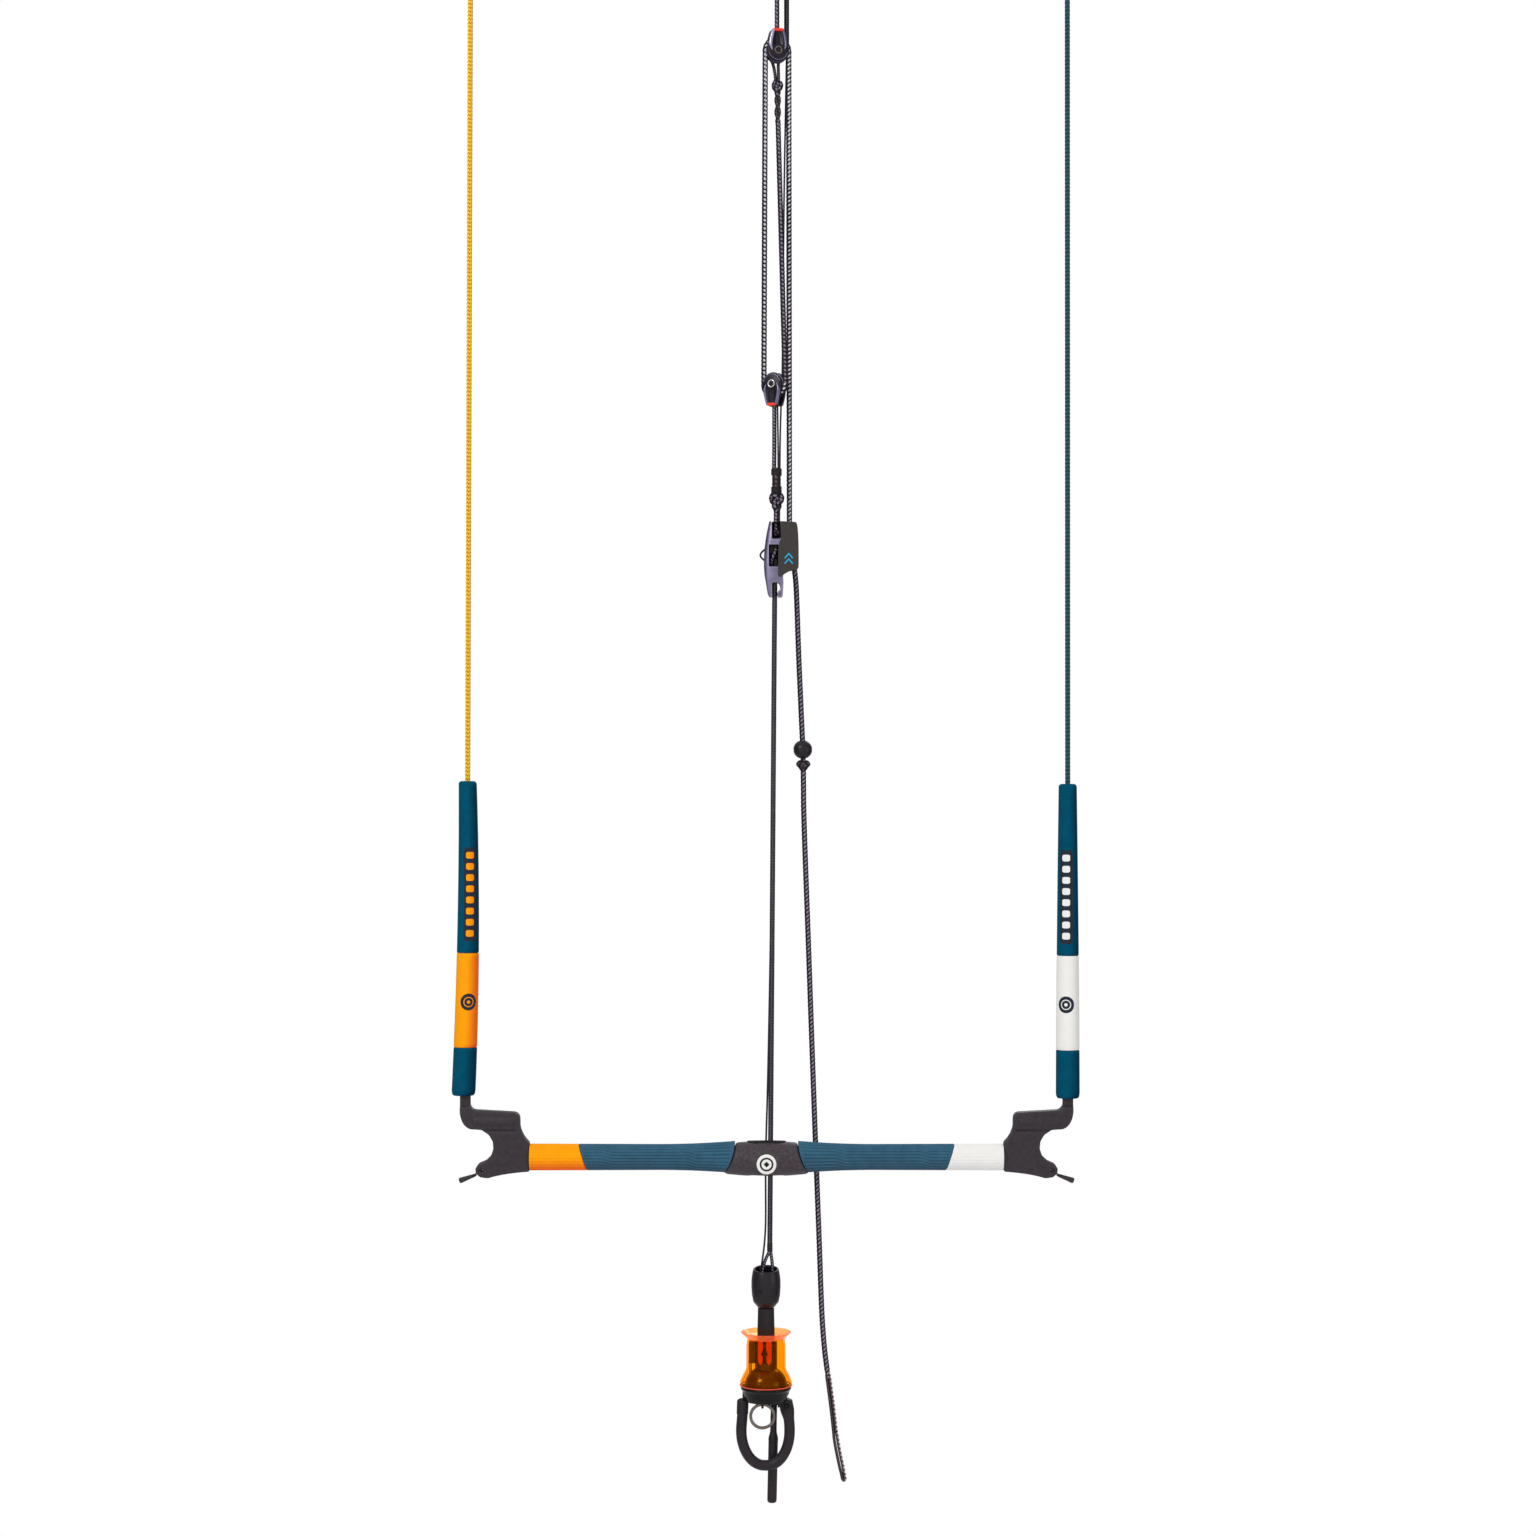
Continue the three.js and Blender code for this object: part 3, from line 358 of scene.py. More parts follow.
# Finishes -----------------------------------------------------------------------------------

def colour(red, green, blue):
    """An sRGB colour with parts from 0 to 255, as a shader takes it."""
    parts = [value / 255 for value in (red, green, blue)]
    return tuple(p / 12.92 if p <= 0.04045 else ((p + 0.055) / 1.055) ** 2.4 for p in parts) + (1.0,)


def scaled(tone, factor):
    return tuple(min(1.0, part * factor) for part in tone[:3]) + (1.0,)


def node(tree, kind, inputs=None, **settings):
    """A shader node with its settings and inputs; an input may be another node's output."""
    made = tree.nodes.new(kind)
    for key, value in settings.items():
        setattr(made, key, value)
    for key, value in (inputs or {}).items():
        if isinstance(value, bpy.types.NodeSocket):
            tree.links.new(value, made.inputs[key])
        else:
            made.inputs[key].default_value = value
    return made


def ramp(tree, factor, *stops):
    """A colour ramp's output. Each stop is a position and a colour."""
    made = node(tree, "ShaderNodeValToRGB", {"Fac": factor})
    elements = made.color_ramp.elements
    elements[0].position, elements[0].color = stops[0]
    elements[1].position, elements[1].color = stops[-1]
    for position, tone in stops[1:-1]:
        elements.new(position).color = tone
    return made.outputs["Color"]


def new_finish(name, slot):
    """A new material, its node tree, its shader and the place on the piece."""
    finish = bpy.data.materials.new(name)
    finish.use_nodes = True
    finish["slot"] = slot
    tree = finish.node_tree
    where = node(tree, "ShaderNodeTexCoord").outputs["Object"]
    return finish, tree, tree.nodes["Principled BSDF"], where


def put(tree, shader, **values):
    """Sets a shader's inputs, named with _ for spaces, to numbers or other nodes' outputs."""
    for key, value in values.items():
        socket = shader.inputs[key.replace("_", " ")]
        if isinstance(value, bpy.types.NodeSocket):
            tree.links.new(value, socket)
        else:
            socket.default_value = value


def noise(tree, where, size, detail=3.0):
    """Soft noise with patches of about that many millimetres."""
    return node(tree, "ShaderNodeTexNoise", {"Vector": where, "Scale": 1 / (size * MM), "Detail": detail}).outputs[0]


def surface(name, slot, tone, rough, metal=0.0, patch=9.0, vary=0.12, grain=0.5, depth=0.03, edge_highlight=0.0,
            stretch=(1, 1, 1), coat=0.0, hollow_shade=0.0, shine=0.3, shaded_side=None, shaded_way=(0.75, 0.0, -0.9)):
    """A moulded, foamed or machined surface. It has soft colour patches, a fine grain of a size and
    depth, a painted highlight that lightens its rounded edges, painted shade that darkens its hollows,
    painted shade as a deeper tone on the side that faces a way, and for brushed metal a grain stretched along an
    axis."""
    finish, tree, shader, where = new_finish(name, slot)
    patches = noise(tree, where, patch)
    toned = ramp(tree, patches, (0.3, scaled(tone, 1 - vary)), (0.7, scaled(tone, 1 + vary)))
    pulled = node(tree, "ShaderNodeMapping", {"Vector": where, "Scale": stretch}).outputs[0]
    fine = noise(tree, pulled, grain, detail=5.0)
    # painted shade: faces turned along the given way take the deeper tone given for that side
    if shaded_side:
        outward = node(tree, "ShaderNodeNewGeometry").outputs["Normal"]
        shade_facing = node(tree, "ShaderNodeVectorMath", {0: outward, 1: shaded_way},
                           operation="DOT_PRODUCT").outputs["Value"]
        share = ramp(tree, shade_facing, (0.05, (0, 0, 0, 1)), (0.85, (1, 1, 1, 1)))
        toned = node(tree, "ShaderNodeMixRGB", {"Fac": share, "Color1": toned, "Color2": shaded_side}).outputs["Color"]
    mottled = node(tree, "ShaderNodeMixRGB", {"Fac": 0.35, "Color1": toned}, blend_type="OVERLAY")
    tree.links.new(fine, mottled.inputs["Color2"])
    result = mottled.outputs["Color"]
    edge = node(tree, "ShaderNodeNewGeometry").outputs["Pointiness"]
    # painted shade: hollows and creases, found by pointiness, darken towards a quarter of the tone
    if hollow_shade:
        share = ramp(tree, edge, (0.42, (hollow_shade, hollow_shade, hollow_shade, 1)), (0.495, (0, 0, 0, 1)))
        hollow = node(tree, "ShaderNodeMixRGB", {"Fac": share, "Color1": result, "Color2": scaled(tone, 0.25)})
        result = hollow.outputs["Color"]
    # painted highlight: rounded edges, found by pointiness, lighten towards 2.6 times the tone
    if edge_highlight:
        share = ramp(tree, edge, (0.5, (0, 0, 0, 1)), (0.58, (edge_highlight, edge_highlight, edge_highlight, 1)))
        lit_edges = node(tree, "ShaderNodeMixRGB", {"Fac": share, "Color1": result, "Color2": scaled(tone, 2.6)})
        result = lit_edges.outputs["Color"]
    gloss = node(tree, "ShaderNodeMapRange", {"Value": fine, "To Min": rough - 0.07, "To Max": rough + 0.07})
    bump = node(tree, "ShaderNodeBump", {"Height": fine, "Strength": 0.6, "Distance": depth * MM})
    put(tree, shader, Base_Color=result, Roughness=gloss.outputs[0], Metallic=metal,
        Normal=bump.outputs[0], Coat_Weight=coat, Coat_Roughness=0.2, Specular_IOR_Level=shine)
    return finish


def rope_finish(name, slot, tone, fleck, rough=0.62, coat=0.0, fibre=0.35):
    """Braided yarn with flecks where the mesh's fleck attribute says: a tracer yarn on the leaders, and on the black
    ropes a painted highlight on the strands that face the light.
    """
    finish, tree, shader, where = new_finish(name, slot)
    share = node(tree, "ShaderNodeAttribute", attribute_name="tracer_and_glint").outputs["Fac"]
    fibres = noise(tree, where, fibre, detail=4.0)
    dull = ramp(tree, fibres, (0.35, scaled(tone, 0.65)), (0.7, scaled(tone, 1.5)))
    bright = ramp(tree, fibres, (0.3, scaled(fleck, 0.7)), (0.65, fleck))
    mixed = node(tree, "ShaderNodeMixRGB", {"Fac": share, "Color1": dull, "Color2": bright})
    bump = node(tree, "ShaderNodeBump", {"Height": fibres, "Strength": 0.5, "Distance": 0.12 * MM})
    put(tree, shader, Base_Color=mixed.outputs["Color"], Roughness=rough, Normal=bump.outputs[0],
        Coat_Weight=coat, Coat_Roughness=0.25, Specular_IOR_Level=0.2)
    return finish


def amber_finish(name, face_tint, edge_tint, glow, body_share, edge_share):
    """Clear tinted plastic. Light that passes a surface is tinted, more so at a slant, and a share of the
    surface shows its own glossy colour with a painted glow, which stands in for light that runs inside the wall and
    comes out there."""
    finish, tree, shader, where = new_finish(name, "amber_plastic")
    facing = node(tree, "ShaderNodeLayerWeight", {"Blend": 0.4}).outputs["Facing"]
    tint = ramp(tree, facing, (0.0, face_tint), (0.5, face_tint), (0.92, edge_tint))
    through = node(tree, "ShaderNodeBsdfTransparent", {"Color": tint})
    swirl = noise(tree, where, 12.0)
    bump = node(tree, "ShaderNodeBump", {"Height": swirl, "Strength": 0.15, "Distance": 0.3 * MM})
    painted_glow_tone = ramp(tree, swirl, (0.3, scaled(glow, 0.85)), (0.7, glow))
    # painted light: the emission makes the clear plastic glow, though it is no lamp
    put(tree, shader, Base_Color=painted_glow_tone, Roughness=0.1, Coat_Weight=0.8, Coat_Roughness=0.05,
        Emission_Color=glow, Emission_Strength=0.6, Normal=bump.outputs[0])
    share = ramp(tree, facing, (0.0, (body_share,) * 3 + (1,)), (0.55, (body_share * 1.5,) * 3 + (1,)),
                 (0.9, (edge_share,) * 3 + (1,)))
    blended = node(tree, "ShaderNodeMixShader", {"Fac": share})
    tree.links.new(through.outputs[0], blended.inputs[1])
    tree.links.new(shader.outputs[0], blended.inputs[2])
    tree.links.new(blended.outputs[0], tree.nodes["Material Output"].inputs["Surface"])
    return finish


# On the black ropes the fleck colour is a painted highlight: bright on trim_rope and dimmer on the ropes below it,
# for ropes that catch less light. The leaders' flecks are tracer yarn.
trim_rope = rope_finish("trim_rope", "black_rope", colour(18, 14, 19), colour(238, 230, 244))
dim_glint_rope = rope_finish("dim_glint_rope", "black_rope", colour(18, 14, 19), colour(150, 138, 158))
plain_rope = rope_finish("plain_rope", "black_rope", colour(28, 23, 28), colour(104, 92, 102))
depower_rope = rope_finish("depower_rope", "black_rope", colour(32, 27, 34), colour(92, 84, 104), 0.42, 0.3)
thin_rope = rope_finish("thin_rope", "black_rope", colour(36, 30, 34), colour(104, 94, 102), 0.55, 0.1, 0.2)
orange_rope = rope_finish("orange_rope", "orange_rope", colour(255, 206, 30), colour(228, 74, 20))
teal_rope = rope_finish("teal_rope", "teal_rope", colour(50, 86, 100), colour(14, 36, 46))
stitch_thread = rope_finish("stitch_thread", "black_rope", colour(205, 190, 180), colour(240, 230, 220))
float_teal = surface("float_teal", "teal_foam", colour(0, 76, 102), 0.75, grain=0.35, depth=0.05, shine=0.04,
                     shaded_side=colour(0, 46, 68))
grip_teal = surface("grip_teal", "grip_foam", colour(50, 94, 118), 0.72, grain=0.4, depth=0.05, hollow_shade=0.6,
                    shine=0.15, shaded_side=colour(54, 78, 98))
foam_orange = surface("foam_orange", "orange_foam", colour(255, 160, 0), 0.7, vary=0.04, grain=0.35, depth=0.04,
                      hollow_shade=0.15, shine=0.1, shaded_side=colour(250, 92, 22))
foam_white = surface("foam_white", "white_foam", colour(240, 238, 235), 0.65, vary=0.02, grain=0.35, depth=0.04,
                     hollow_shade=0.3, shine=0.3)
centre_foam = surface("centre_foam", "centre_foam", colour(62, 54, 60), 0.5, patch=2.4, vary=0.35, grain=0.8,
                      depth=0.1, edge_highlight=0.3)
winder_black = surface("winder_black", "black_plastic", colour(49, 42, 48), 0.55, patch=4, vary=0.22, grain=0.5,
                       depth=0.06, edge_highlight=0.35, hollow_shade=0.8)
satin_black = surface("satin_black", "black_plastic", colour(27, 22, 27), 0.36, grain=0.4, depth=0.02, edge_highlight=0.35)
gloss_black = surface("gloss_black", "black_plastic", colour(9, 6, 8), 0.18, vary=0.08, grain=0.6, depth=0.01,
                      edge_highlight=0.5, coat=0.12, shine=0.18)
tube_black = surface("tube_black", "black_plastic", colour(33, 26, 32), 0.46, patch=6, grain=0.35, depth=0.05,
                     hollow_shade=0.5)
cheek_black = surface("cheek_black", "dark_plastic", colour(30, 26, 36), 0.3, metal=0.3, grain=0.3, depth=0.02)
# painted highlight: a lighter copy of the rails' anodised finish, for rails that face the key light; rail_dark is the
# darker copy
rail_lit = surface("rail_lit", "anodised_aluminium", colour(156, 150, 180), 0.3, metal=0.85, grain=0.2,
                     depth=0.01, stretch=(1, 1, 0.15), edge_highlight=0.6)
rail_dark = surface("rail_dark", "anodised_aluminium", colour(98, 92, 116), 0.3, metal=0.85, grain=0.2,
                    depth=0.01, stretch=(1, 1, 0.15), edge_highlight=0.6)
cleat_lilac = surface("cleat_lilac", "anodised_aluminium", colour(128, 121, 148), 0.3, metal=0.9, patch=14,
                      vary=0.25, grain=0.25, depth=0.012, stretch=(1, 1, 0.2), edge_highlight=0.9, hollow_shade=0.8,
                      shaded_side=colour(36, 24, 44), shaded_way=(-0.95, 0.35, -0.5))
cover_grey = surface("cover_grey", "cover_plastic", colour(54, 50, 48), 0.62, patch=4, grain=0.45, depth=0.05,
                     edge_highlight=0.2)
mark_cyan = surface("mark_cyan", "cover_plastic", colour(0, 176, 226), 0.5, vary=0.05)
mark_navy = surface("mark_navy", "dark_plastic", colour(16, 30, 46), 0.6, vary=0.08)
bright_steel = surface("bright_steel", "steel", colour(190, 186, 182), 0.24, metal=1.0, grain=0.2, depth=0.01,
                       stretch=(1, 0.2, 1), edge_highlight=0.3)
ring_steel = surface("ring_steel", "steel", colour(118, 108, 102), 0.22, metal=1.0, grain=0.2, depth=0.01)
sheave_metal = surface("sheave_metal", "aluminium", colour(64, 60, 70), 0.34, metal=0.9, grain=0.2, depth=0.01)
tube_metal = surface("tube_metal", "aluminium", colour(150, 150, 156), 0.35, metal=0.9, stretch=(0.1, 1, 1))
insert_red = surface("insert_red", "red_plastic", colour(255, 50, 20), 0.42, vary=0.06)
prong_red = surface("prong_red", "red_plastic", colour(228, 84, 56), 0.3, vary=0.06)
core_brown = surface("core_brown", "dark_plastic", colour(62, 36, 40), 0.2, patch=5, vary=0.25, coat=0.5,
                     shine=0.5)
arrow_black = surface("arrow_black", "dark_plastic", colour(9, 6, 8), 0.5)
amber_wall = amber_finish("amber_wall", (1.0, 0.75, 0.2, 1), (1.0, 0.46, 0.06, 1), colour(255, 130, 8), 0.012,
                          0.55)
amber_rim = amber_finish("amber_rim", (1.0, 0.86, 0.42, 1), (1.0, 0.3, 0.12, 1), colour(255, 112, 70), 0.22, 0.8)


# Ropes --------------------------------------------------------------------------------------

TRIM_RADIUS = (span("front_line")[1][0] - span("front_line")[0][0]) / 2 + 0.1
TRIM_PITCH = 3.7                       # between flecks in a column
LIT_COLUMN_AT = FRONT - 0.15                # the column of flecks that faces the light, where the black ropes carry painted highlights
CROWN = 1.2                            # how far a braid's crowns stand out, against the CAD's rope


def braid(radius, pitch, strands=8, hand=1, relief=0.17, fleck_columns=2):
    """Radius and fleck share of a plain braid, as functions of distance along and angle round.
    hand 1 leans the flecks to the left going up, -1 to the right. The flecks are painted highlights on crowns in the
    columns that face the light; with no columns they fall all round, as a tracer yarn."""
    def crowns(distance, angle):
        around = strands / 2 * (angle - LIT_COLUMN_AT) / TURN
        first_way = math.pi * (around + hand * distance / pitch)
        second_way = math.pi * (around - hand * distance / pitch)
        over = np.cos(first_way) * np.cos(second_way)
        return np.abs(np.cos(first_way)) * (1 + over), np.abs(np.cos(second_way)) * (1 - over)

    def size(distance, angle):
        first, second = crowns(distance, angle)
        return CROWN * radius * (1 - relief + relief * np.maximum(first, second) / 2)

    def marks(distance, angle):
        first, second = crowns(distance, angle)
        # painted highlight: flecks only where a column faces the light
        column = np.cos(fleck_columns * (angle - LIT_COLUMN_AT)) > 0.62
        return np.where((first > second) & (first > 0.9) & column, 1.0, 0.0)

    return size, marks


def braided(name, path, radius, finish, body, replaces=(), pitch=TRIM_PITCH, strands=8, hand=1, relief=0.17,
            columns=2, fine=4, closed=False):
    """A braided rope along a path, with some vertices per fleck along it and three per strand round."""
    size, marks = braid(radius, pitch, strands, hand, relief, columns)
    path = smooth_path(path, pitch / fine)
    return tube(name, path, size, finish, body, replaces, sides=3 * strands, closed=closed, marks=marks)


def knot_path(centre, width, height, depth, spin=0.0):
    """An overhand knot pulled tight, as a closed curve that passes over and under itself."""
    t = np.linspace(0, TURN, 72, endpoint=False)
    across = (np.sin(t) + 2 * np.sin(2 * t)) / 5.2 * width
    upward = (np.cos(t) - 2 * np.cos(2 * t)) / 5.6 * height
    behind = -np.sin(3 * t) * depth / 2
    return moved(np.stack([across, behind, upward], axis=1), centre, spin)


def knotted(name, centre, width, height, rope_radius, finish, body, spin=0.0):
    """A tight knot of a given overall width and height."""
    path = knot_path(centre, width - 2 * rope_radius, height - 2 * rope_radius, 2.2 * rope_radius, spin)
    size, marks = braid(rope_radius, 3.0, 8, 1, 0.2)
    return tube(name, path, size, finish, body, sides=24, closed=True, marks=marks)


def coil_path(centre, radius, low, high, turns):
    """A helix round an upright axis between two heights."""
    t = np.linspace(0, 1, int(turns * 20) + 1)
    angle = TURN * turns * t
    return centre + np.stack([radius * np.cos(angle), radius * np.sin(angle), low + (high - low) * t], axis=1)


def axle(sheave_node, joint_name):
    """Middle of a block's sheave, and how far the block is swung round its rope."""
    direction = joint(joint_name)["axis"]
    return middle(sheave_node), math.atan2(-direction[0], direction[1])


def front_line():
    low, high = span("front_line")
    x = (low[0] + high[0]) / 2
    braided("front_line_rope", [(x, 0, low[2]), (x, 0, high[2])], TRIM_RADIUS - 0.3, dim_glint_rope,
            "front_line_set", ["front_line"], hand=1)


def safety_top():
    ends = rope_middles("safety_line_top", 1.9)
    braided("safety_line_rope", ends, 2.0, plain_rope, "front_line_set", ["safety_line_top"], pitch=2.2,
            strands=12, relief=0.12)


def tackle_ropes():
    """The rope's turns over both sheaves, and the legs between them, which on the real bar shorten with the trim."""
    for name, node_name, sheave_node, joint_name, body, flipped in (
            ("upper_turn_rope", "tackle_turn_top", "upper_sheave", "upper_sheave_turn", "front_line_set", False),
            ("lower_turn_rope", "tackle_turn_bottom", "lower_sheave", "lower_sheave_turn", "centre_line_set",
             True)):
        centre, yaw = axle(sheave_node, joint_name)
        radius = (span(sheave_node)[1][2] - span(sheave_node)[0][2]) / 2 + 0.2
        arc = arc_path(np.zeros(3), radius, radius, 0, math.pi, TRIM_PITCH / 4)
        size, marks = braid(TRIM_RADIUS, TRIM_PITCH, hand=-1)
        tube(name, moved(arc, centre, yaw, flip=flipped), size, trim_rope, body, [node_name], marks=marks)
    top = middle("upper_sheave")[2]
    legs = (("left_leg_rope", "tackle_left_leg", TRIM_RADIUS, trim_rope, 1),
            ("middle_leg_rope", "tackle_middle_leg", TRIM_RADIUS - 0.1, dim_glint_rope, 1),
            ("right_leg_rope", "tackle_right_leg", TRIM_RADIUS, trim_rope, -1))
    for name, node_name, radius, finish, hand in legs:
        ends = rope_middles(node_name, radius)
        low, high = span(node_name)
        rope = braided(name, ends, radius, finish, "front_line_set", [node_name], hand=hand)
        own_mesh(rope)
    low, high = span("safety_line_tackle")
    path = smooth_path(rope_middles("safety_line_tackle", 0.75), 3.0)
    line = tube("safety_line_behind", path, 0.8, thin_rope, "front_line_set", ["safety_line_tackle"], sides=10)
    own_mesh(line)


def becket():
    """The standing end: an eye over the upper axle's post, a knot and a splice."""
    centre, yaw = axle("upper_sheave", "upper_sheave_turn")
    foot = span("becket_line")[0][2] - centre[2]
    eye = [(-1.1, 0.2, -28), (-1.6, 2.6, -18), (-2.4, 6.2, -10.5), (-4.2, 8.6, -4), (-4.4, 8.6, 1), (-2.9, 8.6, 3.8),
           (0, 8.6, 4.8), (2.9, 8.6, 3.8), (4.4, 8.6, 1), (4.2, 8.6, -4), (2.6, 6.2, -10.5), (1.9, 2.6, -18),
           (1.5, 0.2, -28)]
    size, marks = braid(1.3, 2.6)
    tube("becket_eye", moved(smooth_path(eye, 0.7), centre, yaw), size, plain_rope, "front_line_set",
         ["becket_line"], marks=marks)
    knotted("becket_knot", centre + moved([(0.4, 0, -32.4)], spin=yaw)[0], 9.4, 16.4, 1.85, dim_glint_rope,
            "front_line_set", spin=yaw)
    for turn in (0, math.pi):
        angles = np.linspace(turn, turn + 1.4 * TURN, 60)
        reach = 1.3 * smoothstep(1.15, 0.8, np.linspace(0, 1, 60))
        strand = np.stack([0.6 + reach * np.cos(angles), reach * np.sin(angles), np.linspace(-34, foot - 2, 60)],
                          axis=1)
        braided(f"becket_splice_{int(turn)}", moved(strand, centre, yaw), 1.55, plain_rope, "front_line_set",
                pitch=3.0, fine=3)


def block_tether():
    """Under the lower block: a two-strand eye, whipping, a knot, and the line into the cleat's pocket."""
    low, high = span("block_tether")
    whip_low, whip_high = low[2] + 38.8, low[2] + 60.8
    middle_x = (low[0] + high[0]) / 2 - 0.3
    left = [(middle_x - 2.2, 0, whip_high - 4), (middle_x - 1.9, 0, whip_high + 20), (middle_x - 1.9, 0, high[2])]
    right = [(middle_x + 1.7, 0.4, whip_high - 4), (middle_x + 1.5, 0.4, whip_high + 20),
             (middle_x + 0.9, 0.4, high[2])]
    braided("tether_left_strand", left, 1.75, dim_glint_rope, "centre_line_set", ["block_tether"], pitch=3.0)
    tube("tether_right_strand", smooth_path(right, 3), 0.8, thin_rope, "centre_line_set", sides=12)
    core = [(middle_x, 0, whip_low - 2), (middle_x, 0, whip_high + 1)]
    size, marks = braid(4.1 / CROWN, 4.2, 12, 1, 0.12)
    tube("tether_core", smooth_path(core, 1), size, plain_rope, "centre_line_set", sides=36, marks=marks)
    for i, (start, end) in enumerate(((whip_low, whip_low + 6), (whip_high - 5.4, whip_high))):
        coil = coil_path(np.array([middle_x, 0, 0]), 4.3, start, end, 5)
        tube(f"tether_whipping_{i}", coil, 0.62, thin_rope, "centre_line_set", sides=10, reference=UP)
    knotted("tether_knot", (middle_x + 0.2, 0, whip_low - 6.6), 13.0, 18.4, 2.2, dim_glint_rope, "centre_line_set")
    line = [(middle_x - 0.4, -1, low[2] + 4), (middle_x, -0.4, whip_low - 8)]
    braided("tether_line", line, 2.1, dim_glint_rope, "centre_line_set", pitch=3.2)
    knotted("tether_stopper", (middle_x - 0.4, -1, low[2] + 3.4), 6.8, 6.8, 1.3, plain_rope, "centre_line_set")


def depower_line():
    """The line that the bar slides on, its splice into two legs, and the thin safety line beside it."""
    low, high = span("depower_line")
    fork = np.array([3.4, 0, low[2] + 27])
    top = np.array([high[0] - 2, 0, high[2] + 4.5])
    size, marks = braid(2.0, 2.6, 12, 1, 0.1)
    main = smooth_path([fork, top], 0.9)
    tube("depower_rope", main, size, depower_rope, "centre_line_set", ["depower_line"], sides=30, marks=marks)
    legs = {"left": [fork + (0, 0, 3), (2.6, -0.6, fork[2] - 2), (0.2, 0, fork[2] - 7), (-2.6, 0, fork[2] - 16),
                     (-4.3, 0, low[2])],
            "right": [fork + (0.3, 0.3, 3), (4.1, 0.8, fork[2] - 1), (5.0, 0, fork[2] - 7),
                      (5.8, 0, fork[2] - 16), (5.1, 0, low[2])]}
    for side, leg in legs.items():
        braided(f"depower_leg_{side}", leg, 1.35, dim_glint_rope, "centre_line_set", pitch=2.6)
    coil = coil_path(fork + (0, 0, -1), 2.15, 0, 7, 6)
    tube("depower_whipping", coil, 0.5, thin_rope, "centre_line_set", sides=8, reference=UP)
    path = smooth_path(rope_middles("safety_line", 0.75), 2.0)
    path[:, 2] += 7.0 * smoothstep(5, -1, path[:, 0]) * (path[:, 2] > 780)
    tube("safety_line_lower", path, 0.85, thin_rope, "centre_line_set", ["safety_line"], sides=12)


def trim_tail():
    """The free end of the trim rope, its knot and its sewn end loop. A spare length hides inside the
    tackle's right leg, and comes out of the cleat when the tail runs out."""
    ball_low, ball_high = span("stopper_ball")
    knot_middle = np.array([33.8, 26.3, ball_low[2] - 6.2])
    path = rope_middles("trim_tail_line", 2.1, skip=(ball_low[2] - 12, ball_low[2] + 2))
    size, marks = braid(TRIM_RADIUS, TRIM_PITCH, hand=-1)
    spine = smooth_path(path, TRIM_PITCH / 4)
    length = np.sum(np.linalg.norm(np.diff(spine, axis=0), axis=1))

    def drawn_in(distance, angle):
        return size(distance, angle) * (1 - 0.35 * smoothstep(length - 8, length, distance))

    tube("trim_tail_rope", spine, drawn_in, dim_glint_rope, "trim_tail", ["trim_tail_line"], marks=marks)
    slide = joint("tail_slide")
    start = path[0]
    hidden = start - np.array(slide["axis"]) * slide["range_m"][1] / MM
    braided("trim_tail_spare", [start + np.array(slide["axis"]) * 4, hidden], 1.95 / CROWN, dim_glint_rope, "trim_tail",
            hand=-1, relief=0.08)
    knotted("tail_knot", knot_middle, 12, 10.6, 2.1, plain_rope, "trim_tail")
    end_low, end_high = span("tail_end_loop")
    ends = rope_middles("tail_end_loop", 2.7)
    upward = (ends[0] - ends[1]) / np.linalg.norm(ends[0] - ends[1])
    spine = smooth_path(np.vstack([ends[0] + 7 * upward, ends]), 2.0)
    share = np.linspace(0, 1, len(spine))[:, None]
    slit = 0.25 * smoothstep(0.54, 0.62, share) * smoothstep(0.95, 0.87, share)
    opening = 0.25 + smoothstep(0, 0.05, share) * smoothstep(0, 0.02, 1 - share) + slit
    sideways = np.array([1.0, 0, 0.12])
    loop = np.vstack([spine - sideways * opening, (spine + sideways * opening)[::-1]])
    size, marks = braid(1.2, 2.6)
    tube("tail_loop", smooth_path(loop, 0.8), size, plain_rope, "trim_tail", ["tail_end_loop"], marks=marks)
    edge = spine + sideways * (opening + 1.2)
    zigzag = [place + ((-0.7, -1.6, 0) if i % 2 else (0.5, -0.5, 0)) for i, place in enumerate(edge)]
    tube("tail_stitching", zigzag, 0.42, stitch_thread, "trim_tail", sides=8)


def stopper_ball():
    """The ball that slides on the trim rope: two half shells with a fine seam."""
    centre = middle("stopper_ball")
    radius = (span("stopper_ball")[1][0] - span("stopper_ball")[0][0]) / 2
    tail = joint("ball_slide")["axis"]
    bore = 3.7
    start = math.asin(bore / radius)
    angles = np.linspace(start, math.pi - start, 40)
    profile = [(radius * math.sin(a) - (0.25 if abs(a - math.pi / 2) < 0.05 else 0), -radius * math.cos(a))
               for a in angles]
    profile += [(bore - 0.3, profile[-1][1] - 0.6), (bore - 0.3, profile[0][1] + 0.6)]
    lathe("tail_ball", profile, centre, satin_black, "tail_ball", ["stopper_ball"], round_by=0, tilt=tail)


# Blocks -------------------------------------------------------------------------------------

SHOULDER = 9.3                         # half width of a cheek at its axle
HEAD_HALF_WIDTH = 5.0
HEAD_TOP = 19.4
CHEEK_INSIDE = 3.3
CHEEK_OUTSIDE = 5.5


def cheek_half_width(height):
    """Half width of a cheek's outline: a half circle below the axle, drawn in towards its head."""
    if height < 0:
        return math.sqrt(max(0.0, SHOULDER ** 2 - height ** 2))
    bend = 10.0
    t = (-bend + math.sqrt(bend ** 2 + (HEAD_TOP - 2 * bend) * height)) / (HEAD_TOP - 2 * bend)
    return (1 - t) ** 2 * SHOULDER + 2 * t * (1 - t) * SHOULDER + t ** 2 * HEAD_HALF_WIDTH


